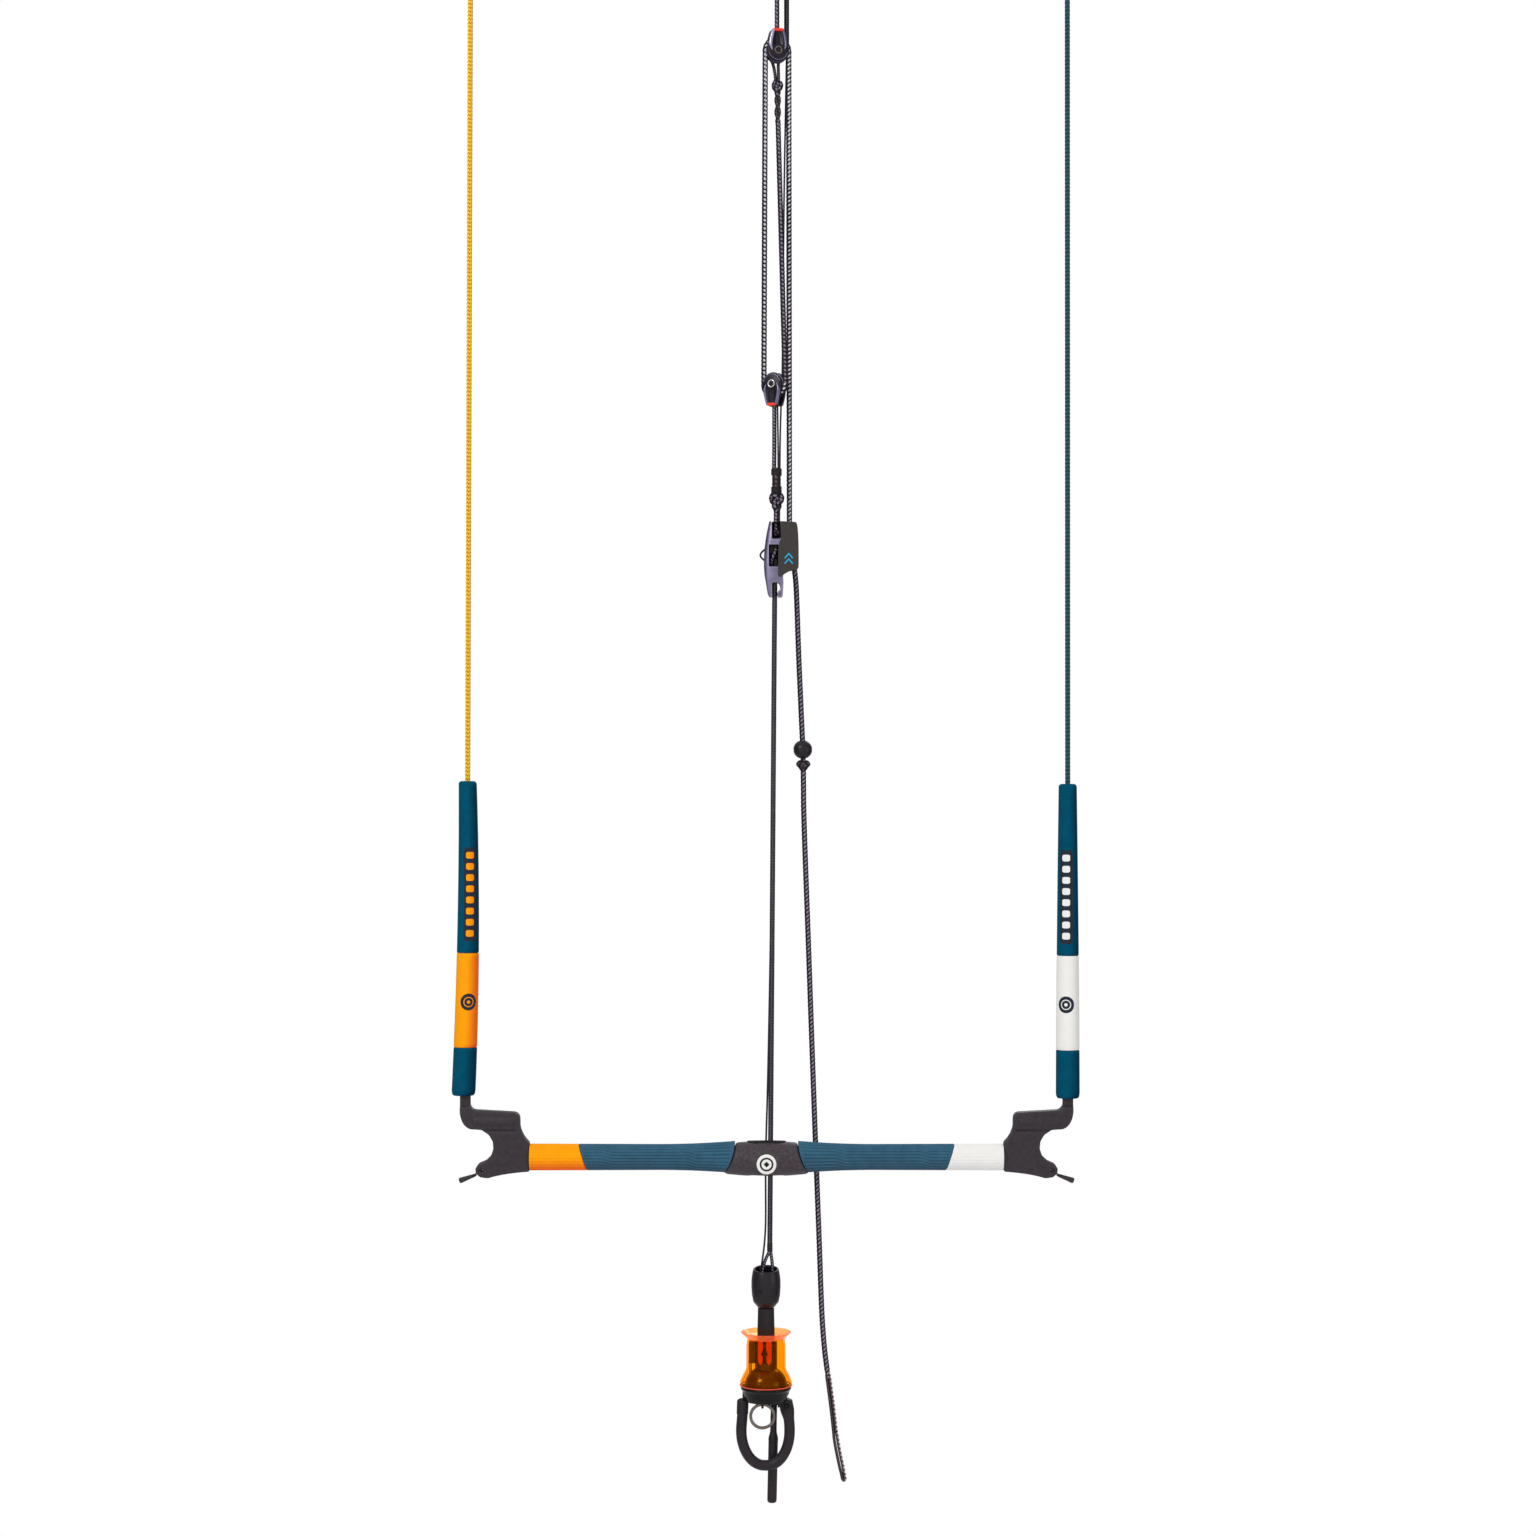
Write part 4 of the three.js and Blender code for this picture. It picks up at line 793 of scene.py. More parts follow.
def cheek_shell(name, face, centre, yaw, flipped, body, node_name):
    """A cheek with a hollow down its middle and a flange round its edge; face is -1 or 1 along Y."""
    rows, columns = 44, 25
    front, back = [], []
    for height in np.linspace(-SHOULDER + 0.15, HEAD_TOP, rows):
        half = cheek_half_width(height)
        for u in np.linspace(-1, 1, columns):
            hollow = smoothstep(0.5, 0.25, abs(u)) * smoothstep(2.5, 5.5, height)
            edge = smoothstep(1.0, 0.82, abs(u)) * smoothstep(-SHOULDER, -SHOULDER + 1.4, height)
            crown = 0.5 * smoothstep(SHOULDER, 2, math.hypot(u * half, height))
            depth = CHEEK_OUTSIDE - 0.5 + 0.7 * edge + crown - 1.7 * hollow
            front.append((u * half, face * depth, height))
            back.append((u * half, face * CHEEK_INSIDE, height))
    faces = grid_faces(rows, columns, wrap_columns=False)
    count = rows * columns
    faces += [tuple(count + corner for corner in reversed(quad)) for quad in faces]
    rim = list(range(columns)) + [i * columns + columns - 1 for i in range(1, rows)]
    rim += [count - 1 - j for j in range(1, columns)] + [i * columns for i in range(rows - 2, 0, -1)]
    for a, b in zip(rim, rim[1:] + rim[:1]):
        faces.append((b, a, count + a, count + b))
    piece(name, moved(front + back, centre, yaw, flip=flipped), faces, cheek_black, body, [node_name])


def cheek_rail(name, side, face, centre, yaw, flipped, body, thickness, finish):
    """The bow-shaped rail on one side of a cheek, from its head to a point below the axle."""
    path, sizes = [], []
    for height in np.linspace(HEAD_TOP - 0.2, -1.5, 40):
        half = cheek_half_width(height)
        inward = smoothstep(6, -1.5, height)
        path.append((side * (half * (0.78 - 0.2 * inward)), face * (CHEEK_OUTSIDE + 0.15), height))
        sizes.append(thickness * (1 - 0.75 * inward) * smoothstep(HEAD_TOP + 0.3, HEAD_TOP - 1.2, height) + 0.1)
    along = np.concatenate([[0], np.cumsum(np.linalg.norm(np.diff(np.array(path), axis=0), axis=1))])

    def size(distance, angle):
        flat = 1 - 0.45 * np.abs(np.sin(angle))
        return np.interp(distance, along, sizes) * flat

    tube(name, moved(path, centre, yaw, flip=flipped), size, finish, body, sides=14)


def pulley_block(prefix, body, wheel_body, flipped):
    """Cheeks with their rails, axle pin, red thimble and sheave of one block."""
    centre, yaw = axle(f"{prefix}_sheave", f"{prefix}_sheave_turn")
    direction = joint(f"{prefix}_sheave_turn")["axis"]
    for word, face in (("front", -1), ("rear", 1)):
        cheek_shell(f"{prefix}_{word}_cheek", face, centre, yaw, flipped, body, f"{prefix}_block_{word}_cheek")
        # painted light: the upper block's left rails take the lighter copy, all other rails the darker one
        left_rail_shading = rail_dark if flipped else rail_lit
        for side_word, side, thickness, finish in (("left", -1, 1.5, left_rail_shading), ("right", 1, 1.1, rail_dark)):
            cheek_rail(f"{prefix}_{word}_{side_word}_rail", side, face, centre, yaw, flipped, body, thickness, finish)
        edge = arc_path(np.array([0, face * (CHEEK_OUTSIDE - 0.1), 0]), SHOULDER - 0.8, SHOULDER - 0.8,
                        1.08 * math.pi, 1.92 * math.pi, 0.6)
        tube(f"{prefix}_{word}_edge", moved(edge, centre, yaw, flip=flipped), 0.4, rail_dark, body, sides=10)
    shank, rim = 2.4, 3.6
    front, post = -CHEEK_OUTSIDE - 1.5, 11.0
    pin = [(0, front + 1.6), (2.1, front + 1.6), (2.5, front), (rim, front), (rim, front + 1), (shank, front + 1),
           (shank, post), (rim, post), (rim, post + 1), (2.2, post + 1), (1.7, post + 0.4), (0, post + 0.4)]
    # painted light: the lower block's pin takes the brighter steel and the upper block's pin the darker, lit and
    # shaded copies of one pin
    pin_shading = bright_steel if flipped else ring_steel
    lathe(f"{prefix}_axle_pin", pin, centre, pin_shading, body, [f"{prefix}_block_pin"], 0.25, 40,
          tilt=direction)
    softened(f"{prefix}_thimble", f"{prefix}_block_thimble", 0.3, cheek_black, body, passes=4)
    corners, faces = block((-4.1, -CHEEK_OUTSIDE - 0.9, HEAD_TOP - 2.3), (4.1, -CHEEK_INSIDE, HEAD_TOP + 0.2))
    mesh_block(f"{prefix}_thimble_lip", (moved(corners, centre, yaw, flip=flipped), faces), insert_red, body)
    half, outer, groove = 3.0, 10.6, 8.4
    wheel = [(2.8, -half), (outer, -half), (outer, -half + 0.3), (groove, -1.3), (groove, 1.3),
             (outer, half - 0.3), (outer, half), (8.2, half), (7.6, half - 0.6), (5, half - 0.6), (4.4, half),
             (2.8, half)]
    lathe(f"{prefix}_wheel", wheel, centre, sheave_metal, wheel_body, [f"{prefix}_sheave"], 0.25, 72,
          tilt=direction)


# Cleat --------------------------------------------------------------------------------------

def cleat():
    """The anodised body and its cover. The cover carries a plain pair of chevrons as its mark."""
    low, high = span("cleat_body")
    beside_cover = block((high[0] - 1.2, low[1] - 1, low[2]), (high[0] + 1, high[1] + 1, high[2] + 1))
    above_cover = block((high[0] - 14, low[1] - 1, high[2] - 1.4), (high[0] + 1, high[1] + 1, high[2] + 1))
    fork_left = block((3.4, -6.8, low[2] + 0.5), (5.7, 6.8, low[2] + 14))
    window_side = smooth_path([(10.2, 0, 1), (10.3, 0, 4.4), (12.7, 0, 7.4), (12.3, 0, 11), (10.4, 0, 13.8)], 0.8)
    finger = [(x, low[2] + z) for x, _, z in window_side]
    finger += [(10.4, low[2] + 17), (15.5, low[2] + 17), (15.7, low[2] + 13), (15.0, low[2] + 0.8), (14.3, low[2])]
    fork_right = plate(finger, -6.8, 6.8)
    shell = softened("cleat_shell", "cleat_body", 0.5, cleat_lilac, "centre_line_set", passes=5,
                     extra=[("DIFFERENCE", beside_cover), ("DIFFERENCE", above_cover), ("UNION", fork_left),
                            ("UNION", fork_right)])
    for vertex in shell.data.vertices:
        x, z = vertex.co.x / MM, vertex.co.z / MM
        left_edge = -1.9 + 4.8 * ((z - 803) / 41) ** 2
        inward = np.clip((x - left_edge) / 7.5, 0, 1)
        if x < 15:
            vertex.co.y *= 0.35 + 0.65 * math.sqrt(inward * (2 - inward))
    softened("cleat_cover_shell", "cleat_cover", 0.35, cover_grey, "centre_line_set", passes=6)
    low, high = span("cleat_cover")
    front = low[1] - 0.12
    centre = np.array([(low[0] + high[0]) / 2 + 0.3, front, low[2] + 15])
    for i, rise in enumerate((-3.2, 1.6)):
        path = [centre + (-3.6, 0, rise), centre + (0, 0, rise + 4.2), centre + (3.6, 0, rise)]
        bend = [path[0], path[0] * 0.08 + path[1] * 0.92, path[1], path[1] * 0.92 + path[2] * 0.08, path[2]]
        ribbon(f"cleat_mark_{i}", bend, 1.0, 0.3, mark_cyan, "centre_line_set")
    face, floor = low[1] + 3.0, 2.9
    for name, pocket_low, pocket_high in (("upper", (5.5, 828.3), (13.2, 843.4)),
                                          ("lower", (2.6, 803.4), (11.3, 822.9))):
        shade_liner(f"cleat_{name}_liner", pocket_low, pocket_high, face, floor)
        middle_z = (pocket_low[1] + pocket_high[1]) / 2
        place = ((pocket_low[0] + pocket_high[0]) / 2, 0.2, middle_z if name == "lower" else pocket_low[1] + 4)
        lathe(f"cleat_{name}_roller", [(0, -3), (2.6, -3), (2.2, 0), (2.6, 3), (0, 3)], place, gloss_black,
              "centre_line_set", round_by=0.3, segments=32, tilt=(1, 0, 0))
    bight = [(5.2, 1.4, 804.6), (5.6, -1.2, 809.5), (7.2, -2.6, 813.8), (8.6, -1.4, 817.6), (8.8, 1.4, 821.6)]
    braided("cleat_bight", bight, 1.75, dim_glint_rope, "centre_line_set", pitch=3.0)


def shade_liner(name, low, high, face, floor, wall=0.6):
    """Black sheets on the floor and walls of a pocket that opens towards the camera, painted shade in its depth; low
    and high are (x, z) corners.
    """
    (left, foot), (right, top) = low, high
    boxes = [block((left, floor - wall, foot), (right, floor, top)),
             block((left, face, foot), (left + wall, floor, top)),
             block((right - wall, face, foot), (right, floor, top)),
             block((left, face, foot), (right, floor, foot + wall)),
             block((left, face, top - wall), (right, floor, top))]
    shape = solid(name, *boxes[0])
    for box in boxes[1:]:
        carve(shape, box, "UNION")
    soften(shape, 0.3, 2)
    finish_piece(shape, gloss_black, "centre_line_set", sharp=80)


def ribbon(name, path, width, thickness, finish, body):
    """A flat strip facing the camera along a path."""
    vertices, faces = [], []
    path = np.array(path, float)
    tangents = np.gradient(path, axis=0)
    for place, tangent in zip(path, tangents):
        across = np.cross(AWAY, tangent)
        across = across / np.linalg.norm(across) * width / 2
        for y, side in ((0, -1), (0, 1), (thickness, 1), (thickness, -1)):
            vertices.append(place + side * across + (0, y, 0))
    count = len(path)
    faces = grid_faces(count, 4)
    faces.append((0, 1, 2, 3))
    faces.append(tuple(4 * count - 1 - i for i in range(4)))
    piece(name, vertices, faces, finish, body)


# Swivel and quick release -------------------------------------------------------------------

def swivel():
    """The barrel-shaped cover with its open top, and a small plug in its side."""
    low, high = span("swivel_cover")
    height = high[2] - low[2]
    outer = (high[1] - low[1]) / 2
    profile = [(4.6, 0), (7.2, 0), (8.4, 0.04), (11.4, 0.14), (12.6, 0.3), (13.15, 0.5), (13.1, 0.66),
               (12.7, 0.8), (12.0, 0.93), (11.4, 1.0), (9.9, 1.0), (9.7, 0.95), (11.0, 0.75), (11.2, 0.5),
               (10.2, 0.26), (8.6, 0.11), (4.6, 0.11)]
    points = [(radius * outer / 13.2, low[2] + share * height) for radius, share in profile]
    barrel = lathe("swivel_barrel", points, (0, 0, 0), satin_black, "centre_line_set", ["swivel_cover"], 0.7, 96)
    for vertex in barrel.data.vertices:
        near_top = smoothstep(high[2] - 16, high[2], vertex.co.z / MM)
        facing = 0.5 - 0.5 * vertex.co.y / MM / outer
        vertex.co.z -= 4.6 * near_top * facing * MM
    plug = (-5.2, -11.9, low[2] + 0.44 * height)
    lathe("swivel_plug", [(0, -0.6), (1.5, -0.6), (1.5, 0.4), (0.9, 0.5), (0.6, 0.1), (0, 0.1)], plug,
          gloss_black, "centre_line_set", round_by=0.15, segments=24, tilt=(-0.4, -0.91, 0))
    frame["nodes"]["swivel_head"].data.materials.clear()
    frame["nodes"]["swivel_head"].data.materials.append(bright_steel)


def stem():
    """The fluted stem that the sleeve slides on."""
    low, high = span("swivel_stem")
    radius = 7.4

    def flutes(size, height, angle):
        above = smoothstep(112, 114, height) * smoothstep(136.6, 135.4, height)
        outside = smoothstep(radius - 1.5, radius - 0.5, size)
        taper = 0.45 * smoothstep(136, 112, height) * outside
        return size + taper - 0.32 * above * outside * (0.5 + 0.5 * np.cos(24 * angle))

    heights = np.linspace(110, 136.7, 16)
    profile = [(0, low[2]), (6.2, low[2]), (6.2, 80), (radius, 80), (radius, 106), (9.4, 106), (9.4, 107.8),
               (radius, 107.8)]
    profile += [(radius, height) for height in heights]
    profile += [(4.2, 136.7), (4.2, 141.8), (7, 141.8), (7, high[2]), (0, high[2])]
    lathe("swivel_stem_fluted", profile, (0, 0, 0), satin_black, "release_unit", ["swivel_stem"], 0.15, 192,
          ripple=flutes)


def ring_of(radius, count):
    """Angles and unit vectors round a circle, for cutters."""
    angles = np.arange(count) * TURN / count
    return np.stack([np.cos(angles), np.sin(angles)], axis=1) * radius


def drum(centre, radius, half_length, axis, count=48):
    """Vertices and faces of a drum along X, Y or Z, as a cutter or a lug."""
    flat = ring_of(radius, count)
    vertices = []
    for end in (-half_length, half_length):
        for a, b in flat:
            spot = {"x": (end, a, b), "y": (a, end, b), "z": (a, b, end)}[axis]
            vertices.append(np.array(spot) + centre)
    faces = [(i, (i + 1) % count, count + (i + 1) % count, count + i) for i in range(count)]
    faces += [tuple(range(count)), tuple(range(2 * count - 1, count - 1, -1))]
    return vertices, faces


def release_base():
    """The glossy body that the loop hangs from, with lugs for loop, ring and retainer."""
    low, high = span("release_body")
    foot, shoulder = 53.2, 67.0
    outer = (high[1] - low[1]) / 2
    profile = [(0, foot), (outer - 2.9, foot), (outer - 2.2, foot + 2), (outer - 0.1, shoulder - 3.8),
               (outer + 1.2, shoulder - 2.6), (outer + 1.2, shoulder - 0.3), (17, shoulder + 0.1),
               (15.4, 73), (12.4, 78), (6.6, 78), (6.6, 71.6), (0, 71.6)]
    vertices, faces = turned(rounded(profile, 0.6), 96)
    obj = solid("release_shell", vertices, faces)
    hinge = np.array(joint("loop_open")["pos_m"]) / MM
    fork = np.array(joint("retainer_swing")["pos_m"]) / MM
    pin_x = middle("release_pin")[0]
    cutters = [drum(hinge, 6.6, 5.4, "y"),
               drum(np.array([-21.0, 0, 54.0]), 5.9, 2.6, "z"),
               block((hinge[0], -5.4, 40), (40, 5.4, 58.6)),
               block((-40, -2.6, 40), (pin_x + 3, 2.6, 61.6)),
               drum(np.array([pin_x, 0, 75]), 1.6, 20, "z", 24)]
    for cutter in cutters:
        carve(obj, cutter)
    for face in (-1, 1):
        carve(obj, drum(hinge + (0, face * 6.8, 0), 4.2, 1.1, "y"), "UNION")
        web_low = hinge + (-4.2, face * 6.8 - 1.1, 0)
        carve(obj, block(web_low, (hinge[0] - 0.5, web_low[1] + 2.2, foot + 2)), "UNION")
        side = fork[0] + face * 4.2
        carve(obj, block((side - 0.9, fork[1] - 2.6, fork[2] - 2.6), (side + 0.9, fork[1] + 2.6, foot + 1)),
              "UNION")
    carve(obj, drum(hinge, 1.8, 12, "y", 24))
    carve(obj, drum(fork, 1.3, 9, "x", 24))
    soften(obj, 0.5, 4)
    finish_piece(obj, gloss_black, "release_unit", ["release_body"], sharp=80)
    hang = np.array(joint("ring_swing")["pos_m"]) / MM
    lug = arc_path(np.zeros(3), 4, 4.6, math.pi, TURN, 0.6)
    tube("ring_lug", moved(lug, (hang[0], hang[1], foot + 0.2), spin=math.pi / 2), 1.15, gloss_black,
         "release_unit", sides=16, reference=UP * 0.2 + np.array([1.0, 0, 0]))


def core():
    """What shows through the sleeve: the dark core and its dome."""
    low, high, spring_room = 80.6, 105.6, 9.4
    wall = [(spring_room, low), (10.0, low), (10.0, high - 0.6), (9.6, high), (spring_room, high)]
    lathe("core_cover", wall, (0, 0, 0), core_brown, "release_unit", round_by=0.2, segments=64)
    foot, reach, rise, thickness = 67.7, 18.9, 17.0, 1.0
    turns = np.linspace(0, math.radians(57), 20)
    dome = [(reach * math.cos(turn), foot + rise * math.sin(turn)) for turn in turns]
    dome += [((reach - thickness) * math.cos(turn), foot + (rise - thickness) * math.sin(turn))
             for turn in turns[::-1]]
    lathe("core_dome", dome, (0, 0, 0), core_brown, "release_unit", round_by=0, segments=64)


def sleeve():
    """The clear amber sleeve that is pushed away to release, with its two prongs and its arrow."""
    low, high = span("release_sleeve")
    foot, top = low[2], high[2]
    wall = [(23.2, foot), (23.2, 71.0), (21.2, 75.5), (18.3, 81.2), (17.7, 84), (17.6, 103), (16.9, 107.5),
            (16.7, 109.4), (15.2, 109.6), (15.4, 107), (16.1, 104), (16.1, 83.4), (17.2, 80.2), (21.5, 71.6),
            (21.6, foot)]
    lathe("sleeve_wall", wall, (0, 0, 0), amber_wall, "sleeve", ["release_sleeve"], 0.5, 96)
    flange = [(8.7, 109.0), (16.0, 109.2), (17.0, 109.8), (22.4, top - 0.9), (22.6, top - 0.2), (21.8, top),
              (17.4, 112), (8.7, 110.5)]
    lathe("sleeve_flange", flange, (0, 0, 0), amber_rim, "sleeve", round_by=0.3, segments=96)
    rim = [(22.2, foot - 0.1), (23.6, foot - 0.1), (23.6, foot + 0.8), (22.2, foot + 0.8)]
    lathe("sleeve_foot_rim", rim, (0, 0, 0), prong_red, "sleeve", round_by=0.3, segments=96)
    for name, centre_angle in (("left", FRONT - 0.12 - 0.36), ("right", FRONT - 0.12 + 0.36), ("rear", -FRONT)):
        prong(f"sleeve_prong_{name}", centre_angle, 0.3 if name == "rear" else 0.22)
    arrow()
    mesh_block("pin_carrier", block((-15.4, -3, 87.4), (-9.6, 3, 107)), core_brown, "sleeve")


def prong(name, centre_angle, half_angle):
    """A tongue that hangs inside the sleeve from its neck and ends in a point."""
    rows, columns = 26, 9
    vertices = []
    for radius in (10.2, 11.3):
        for height in np.linspace(108.8, 87.2, rows):
            narrow = smoothstep(87, 90.6, height)
            spread = half_angle * (0.12 + 0.88 * narrow)
            for u in np.linspace(-1, 1, columns):
                angle = centre_angle + u * spread
                crown = 0.25 * (1 - u * u)
                size = radius + (crown if radius > 11 else -0.0)
                vertices.append((size * math.cos(angle), size * math.sin(angle), height))
    faces = grid_faces(rows, columns, wrap_columns=False)
    count = rows * columns
    faces += [tuple(count + corner for corner in reversed(quad)) for quad in faces]
    rim = list(range(columns)) + [i * columns + columns - 1 for i in range(1, rows)]
    rim += [count - 1 - j for j in range(1, columns)] + [i * columns for i in range(rows - 2, 0, -1)]
    for a, b in zip(rim, rim[1:] + rim[:1]):
        faces.append((b, a, count + a, count + b))
    piece(name, vertices, faces, prong_red, "sleeve")


def arrow():
    """A plain arrow, bent round just inside the sleeve's front wall."""
    outline = [(-1.4, 89), (-1.4, 96.5), (-3.4, 96.5), (0, 103.4), (3.4, 96.5), (1.4, 96.5), (1.4, 89)]
    vertices, faces = [], []
    for radius in (12.6, 13.2):
        for x, height in outline:
            angle = FRONT - 0.12 + x / 13
            vertices.append((radius * math.cos(angle), radius * math.sin(angle), height))
    count = len(outline)
    faces = [tuple(range(count)), tuple(range(2 * count - 1, count - 1, -1))]
    faces += [(i, (i + 1) % count, count + (i + 1) % count, count + i) for i in range(count)]
    piece("sleeve_arrow", vertices, faces, arrow_black, "sleeve", sharp=30)


def carried_over():
    """Metal CAD nodes that stay as they are, with a finish of their own."""
    for name, finish in (("return_spring", bright_steel), ("release_pin", bright_steel),
                         ("loop_pin", gloss_black), ("retainer_pin", gloss_black),
                         ("line_guide_bush", satin_black), ("bar_tube_left", tube_metal),
                         ("bar_tube_right", tube_metal)):
        materials = frame["nodes"][name].data.materials
        materials.clear()
        materials.append(finish)


# Harness loop -------------------------------------------------------------------------------

def harness_loop():
    """The stiff tube with its two cuffs, and small ribs under its bottom left."""
    low, high = span("loop_tube")
    hinge = np.array(joint("loop_open")["pos_m"]) / MM
    radius = 4.8
    left, right, shoulder, seat = low[0] + radius, high[0] - radius, 26.0, low[2] + radius
    path = [np.array([[-20.8, 0, 55.2], [-21.3, 0, 40], [left, 0, shoulder]])]
    flat = 1.5
    path.append(arc_path(np.array([-flat, 0, shoulder]), -flat - left, shoulder - seat, math.pi, 1.5 * math.pi, 3))
    path.append(arc_path(np.array([flat, 0, shoulder]), right - flat, shoulder - seat, -0.5 * math.pi, 0, 3))
    path.append(np.array([[right - 0.8, 0, 38], [hinge[0] + 0.7, 0, hinge[2] - 3], [hinge[0] - 0.6, 0, 53.4]]))
    line = np.vstack(path)
    keep = np.concatenate([[True], np.linalg.norm(np.diff(line, axis=0), axis=1) > 1])
    line = smooth_path(line[keep], 0.8)
    total = 0.8 * len(line)

    def size(distance, angle):
        cuff = 0.45 * smoothstep(14.5, 13.6, distance)
        from_end = np.minimum(distance, total - distance)
        rolled = 1 - np.sqrt(np.clip(1 - (1 - from_end / 2.2), 0, 1))
        cuff = cuff - 2.4 * np.where(from_end < 2.2, rolled, 0)
        bulge = 1.5 * smoothstep(total - 20, total - 9, distance)
        ribbed = smoothstep(26, 32, distance) * smoothstep(64, 58, distance)
        ribs = 0.16 * ribbed * np.cos(TURN * distance / 2.4) * smoothstep(-0.2, 0.6, -np.cos(angle))
        return radius + cuff + bulge + ribs

    tube("loop_hose", line, size, tube_black, "harness_loop", ["loop_tube"], sides=40)
    hook = block((-21.2, -2, 52), (-19, 2, 60.8))
    mesh_block("loop_tongue", hook, gloss_black, "harness_loop")
    mesh_block("loop_hook", block((-20, -2, 58.8), (-12.6, 2, 60.8)), gloss_black, "harness_loop")
    lathe("loop_knuckle", [(1.8, -4.8), (5.6, -4.8), (5.6, 4.8), (1.8, 4.8)], hinge, satin_black, "harness_loop",
          round_by=0.5, tilt=(0, 1, 0))


def mesh_block(name, shape, finish, body):
    """A bar of metal with softened edges."""
    vertices, faces = shape
    obj = piece(name, vertices, faces, finish, body, sharp=30)
    bevel = obj.modifiers.new("bevel", "BEVEL")
    bevel.width = 0.35 * MM
    bevel.segments = 3
    apply_modifiers(obj)
    obj.data.materials.clear()
    obj.data.materials.append(finish)


def leash_ring():
    """A split ring: two turns of flattened wire, with its ends stepped over."""
    low, high = span("leash_ring")
    centre = (low + high) / 2
    half_width, half_depth = 1.35, 0.6
    radius = (high[0] - low[0]) / 2 - half_width
    t = np.linspace(0, 1, 160)
    angle = -math.pi / 3 + 2 * TURN * t
    step = half_depth * (2 * smoothstep(0.44, 0.56, t) - 1)
    path = centre + np.stack([radius * np.cos(angle), step, radius * np.sin(angle)], axis=1)

    def size(distance, round_wire):
        return 1 / np.sqrt((np.cos(round_wire) / half_width) ** 2 + (np.sin(round_wire) / half_depth) ** 2)

    tube("split_ring", path, size, ring_steel, "ring", ["leash_ring"], sides=24)


def retainer():
    """The finger that keeps the hook in the loop: slim at its hinge, thick below."""
    low, high = span("hook_retainer")
    hinge = np.array(joint("retainer_swing")["pos_m"]) / MM
    length = hinge[2] - low[2]
    foot = np.array([(low[0] + 4.3), hinge[1], low[2]])
    profile = [(0, -length + 0.3), (3.0, -length + 0.3), (4.0, -length + 1.2), (4.3, -length + 3), (4.3, -33),
               (4.45, -31.5), (4.2, -29.5), (3.1, -25.5), (2.95, -22), (2.9, -1.5), (2.5, 1.6), (1.4, 2.5), (0, 2.6)]
    lathe("retainer_finger", profile, hinge, tube_black, "retainer", ["hook_retainer"], 0.8, 56,
          tilt=hinge - foot)


# Bar ----------------------------------------------------------------------------------------

BAR = middle("bar_tube_left") * (0, 1, 1) + (0.5, 0, 0)
GRIP_END = span("grip_tip_right")[1][0] - BAR[0]
WAIST = 97.0
WAIST_RADIUS = 11.6
END_RADIUS = 12.0
INSERT_HALF = 31.2
TIP_PLANE = 164.8
TIP_LEAN = math.tan(math.radians(17))
INSERT_LEAN = math.tan(math.radians(15.7))
GROOVES = 24


def grip_radius(x):
    """Radius of the soft covering; x counts outwards from the bar's middle."""
    to_middle = np.maximum(0, (WAIST - x) / (WAIST - INSERT_HALF))
    to_end = np.maximum(0, (x - WAIST) / (GRIP_END - WAIST))
    return WAIST_RADIUS + 2.6 * to_middle ** 2 + (END_RADIUS - WAIST_RADIUS) * to_end


def insert_edge(z):
    """Half length of the centre moulding at a height from the bar's axis: it sweeps out downwards."""
    return INSERT_HALF - INSERT_LEAN * z + 0.012 * (z - 4) ** 2 - 0.6


def tip_edge(z):
    """Where the grip meets its tip, at a height from the bar's axis."""
    return TIP_PLANE + TIP_LEAN * z


def groove_depth(x, angle, side):
    """Fine grooves along the grip, each with two slanting jogs on the way."""
    jogs = smoothstep(62, 72, x) + smoothstep(138, 148, x) * 1.0
    phase = GROOVES * angle / TURN + side * 0.9 * jogs
    groove = 0.5 + 0.5 * np.cos(TURN * phase)
    return 0.75 * groove ** 3


def covering(name, side, start, end, xs_step, grooves, finish, replaces):
    """One length of soft covering between two slanted edges, with its ends rolled in."""
    around = 168
    angles = np.arange(around) * TURN / around
    count = int(130 / xs_step) if end is tip_edge else int(46 / xs_step)
    shares = np.linspace(0, 1, count)
    vertices = []
    lip = [(-1.7, 0.0), (-0.8, 0.0), (-0.25, 0.12), (0.0, 0.5)]
    rows = [(0.0, drop, inward) for drop, inward in lip]
    rows += [(share, 0.0, None) for share in shares[1:-1]]
    rows += [(1.0, drop, inward) for drop, inward in reversed(lip)]
    for share, drop, inward in rows:
        mid = 12 * np.cos(angles)
        first = start(mid) if callable(start) else np.full(around, start)
        last = end(mid) if callable(end) else np.full(around, end)
        push = 0 if inward is None else (inward if share < 0.5 else -inward)
        x = first + (last - first) * share + push
        deep = groove_depth(x, angles, side) * grooves
        fade = smoothstep(0, 0.02, share) * smoothstep(1, 0.98, share)
        radius = grip_radius(x) - deep * fade + drop
        vertices.append(np.stack([side * x, radius * np.sin(angles), radius * np.cos(angles)], axis=1))
    inner_start = vertices[0].copy()
    inner_end = vertices[-1].copy()
    for ring in (inner_end, inner_start):
        scale = 8.4 / np.linalg.norm(ring[:, 1:], axis=1)
        ring[:, 1:] *= scale[:, None]
    rings = vertices + [inner_end, inner_start]
    faces = grid_faces(len(rings), around, wrap_rows=True)
    points = np.vstack(rings) + BAR
    piece(name, points, faces, finish, "bar", replaces, sharp=60)


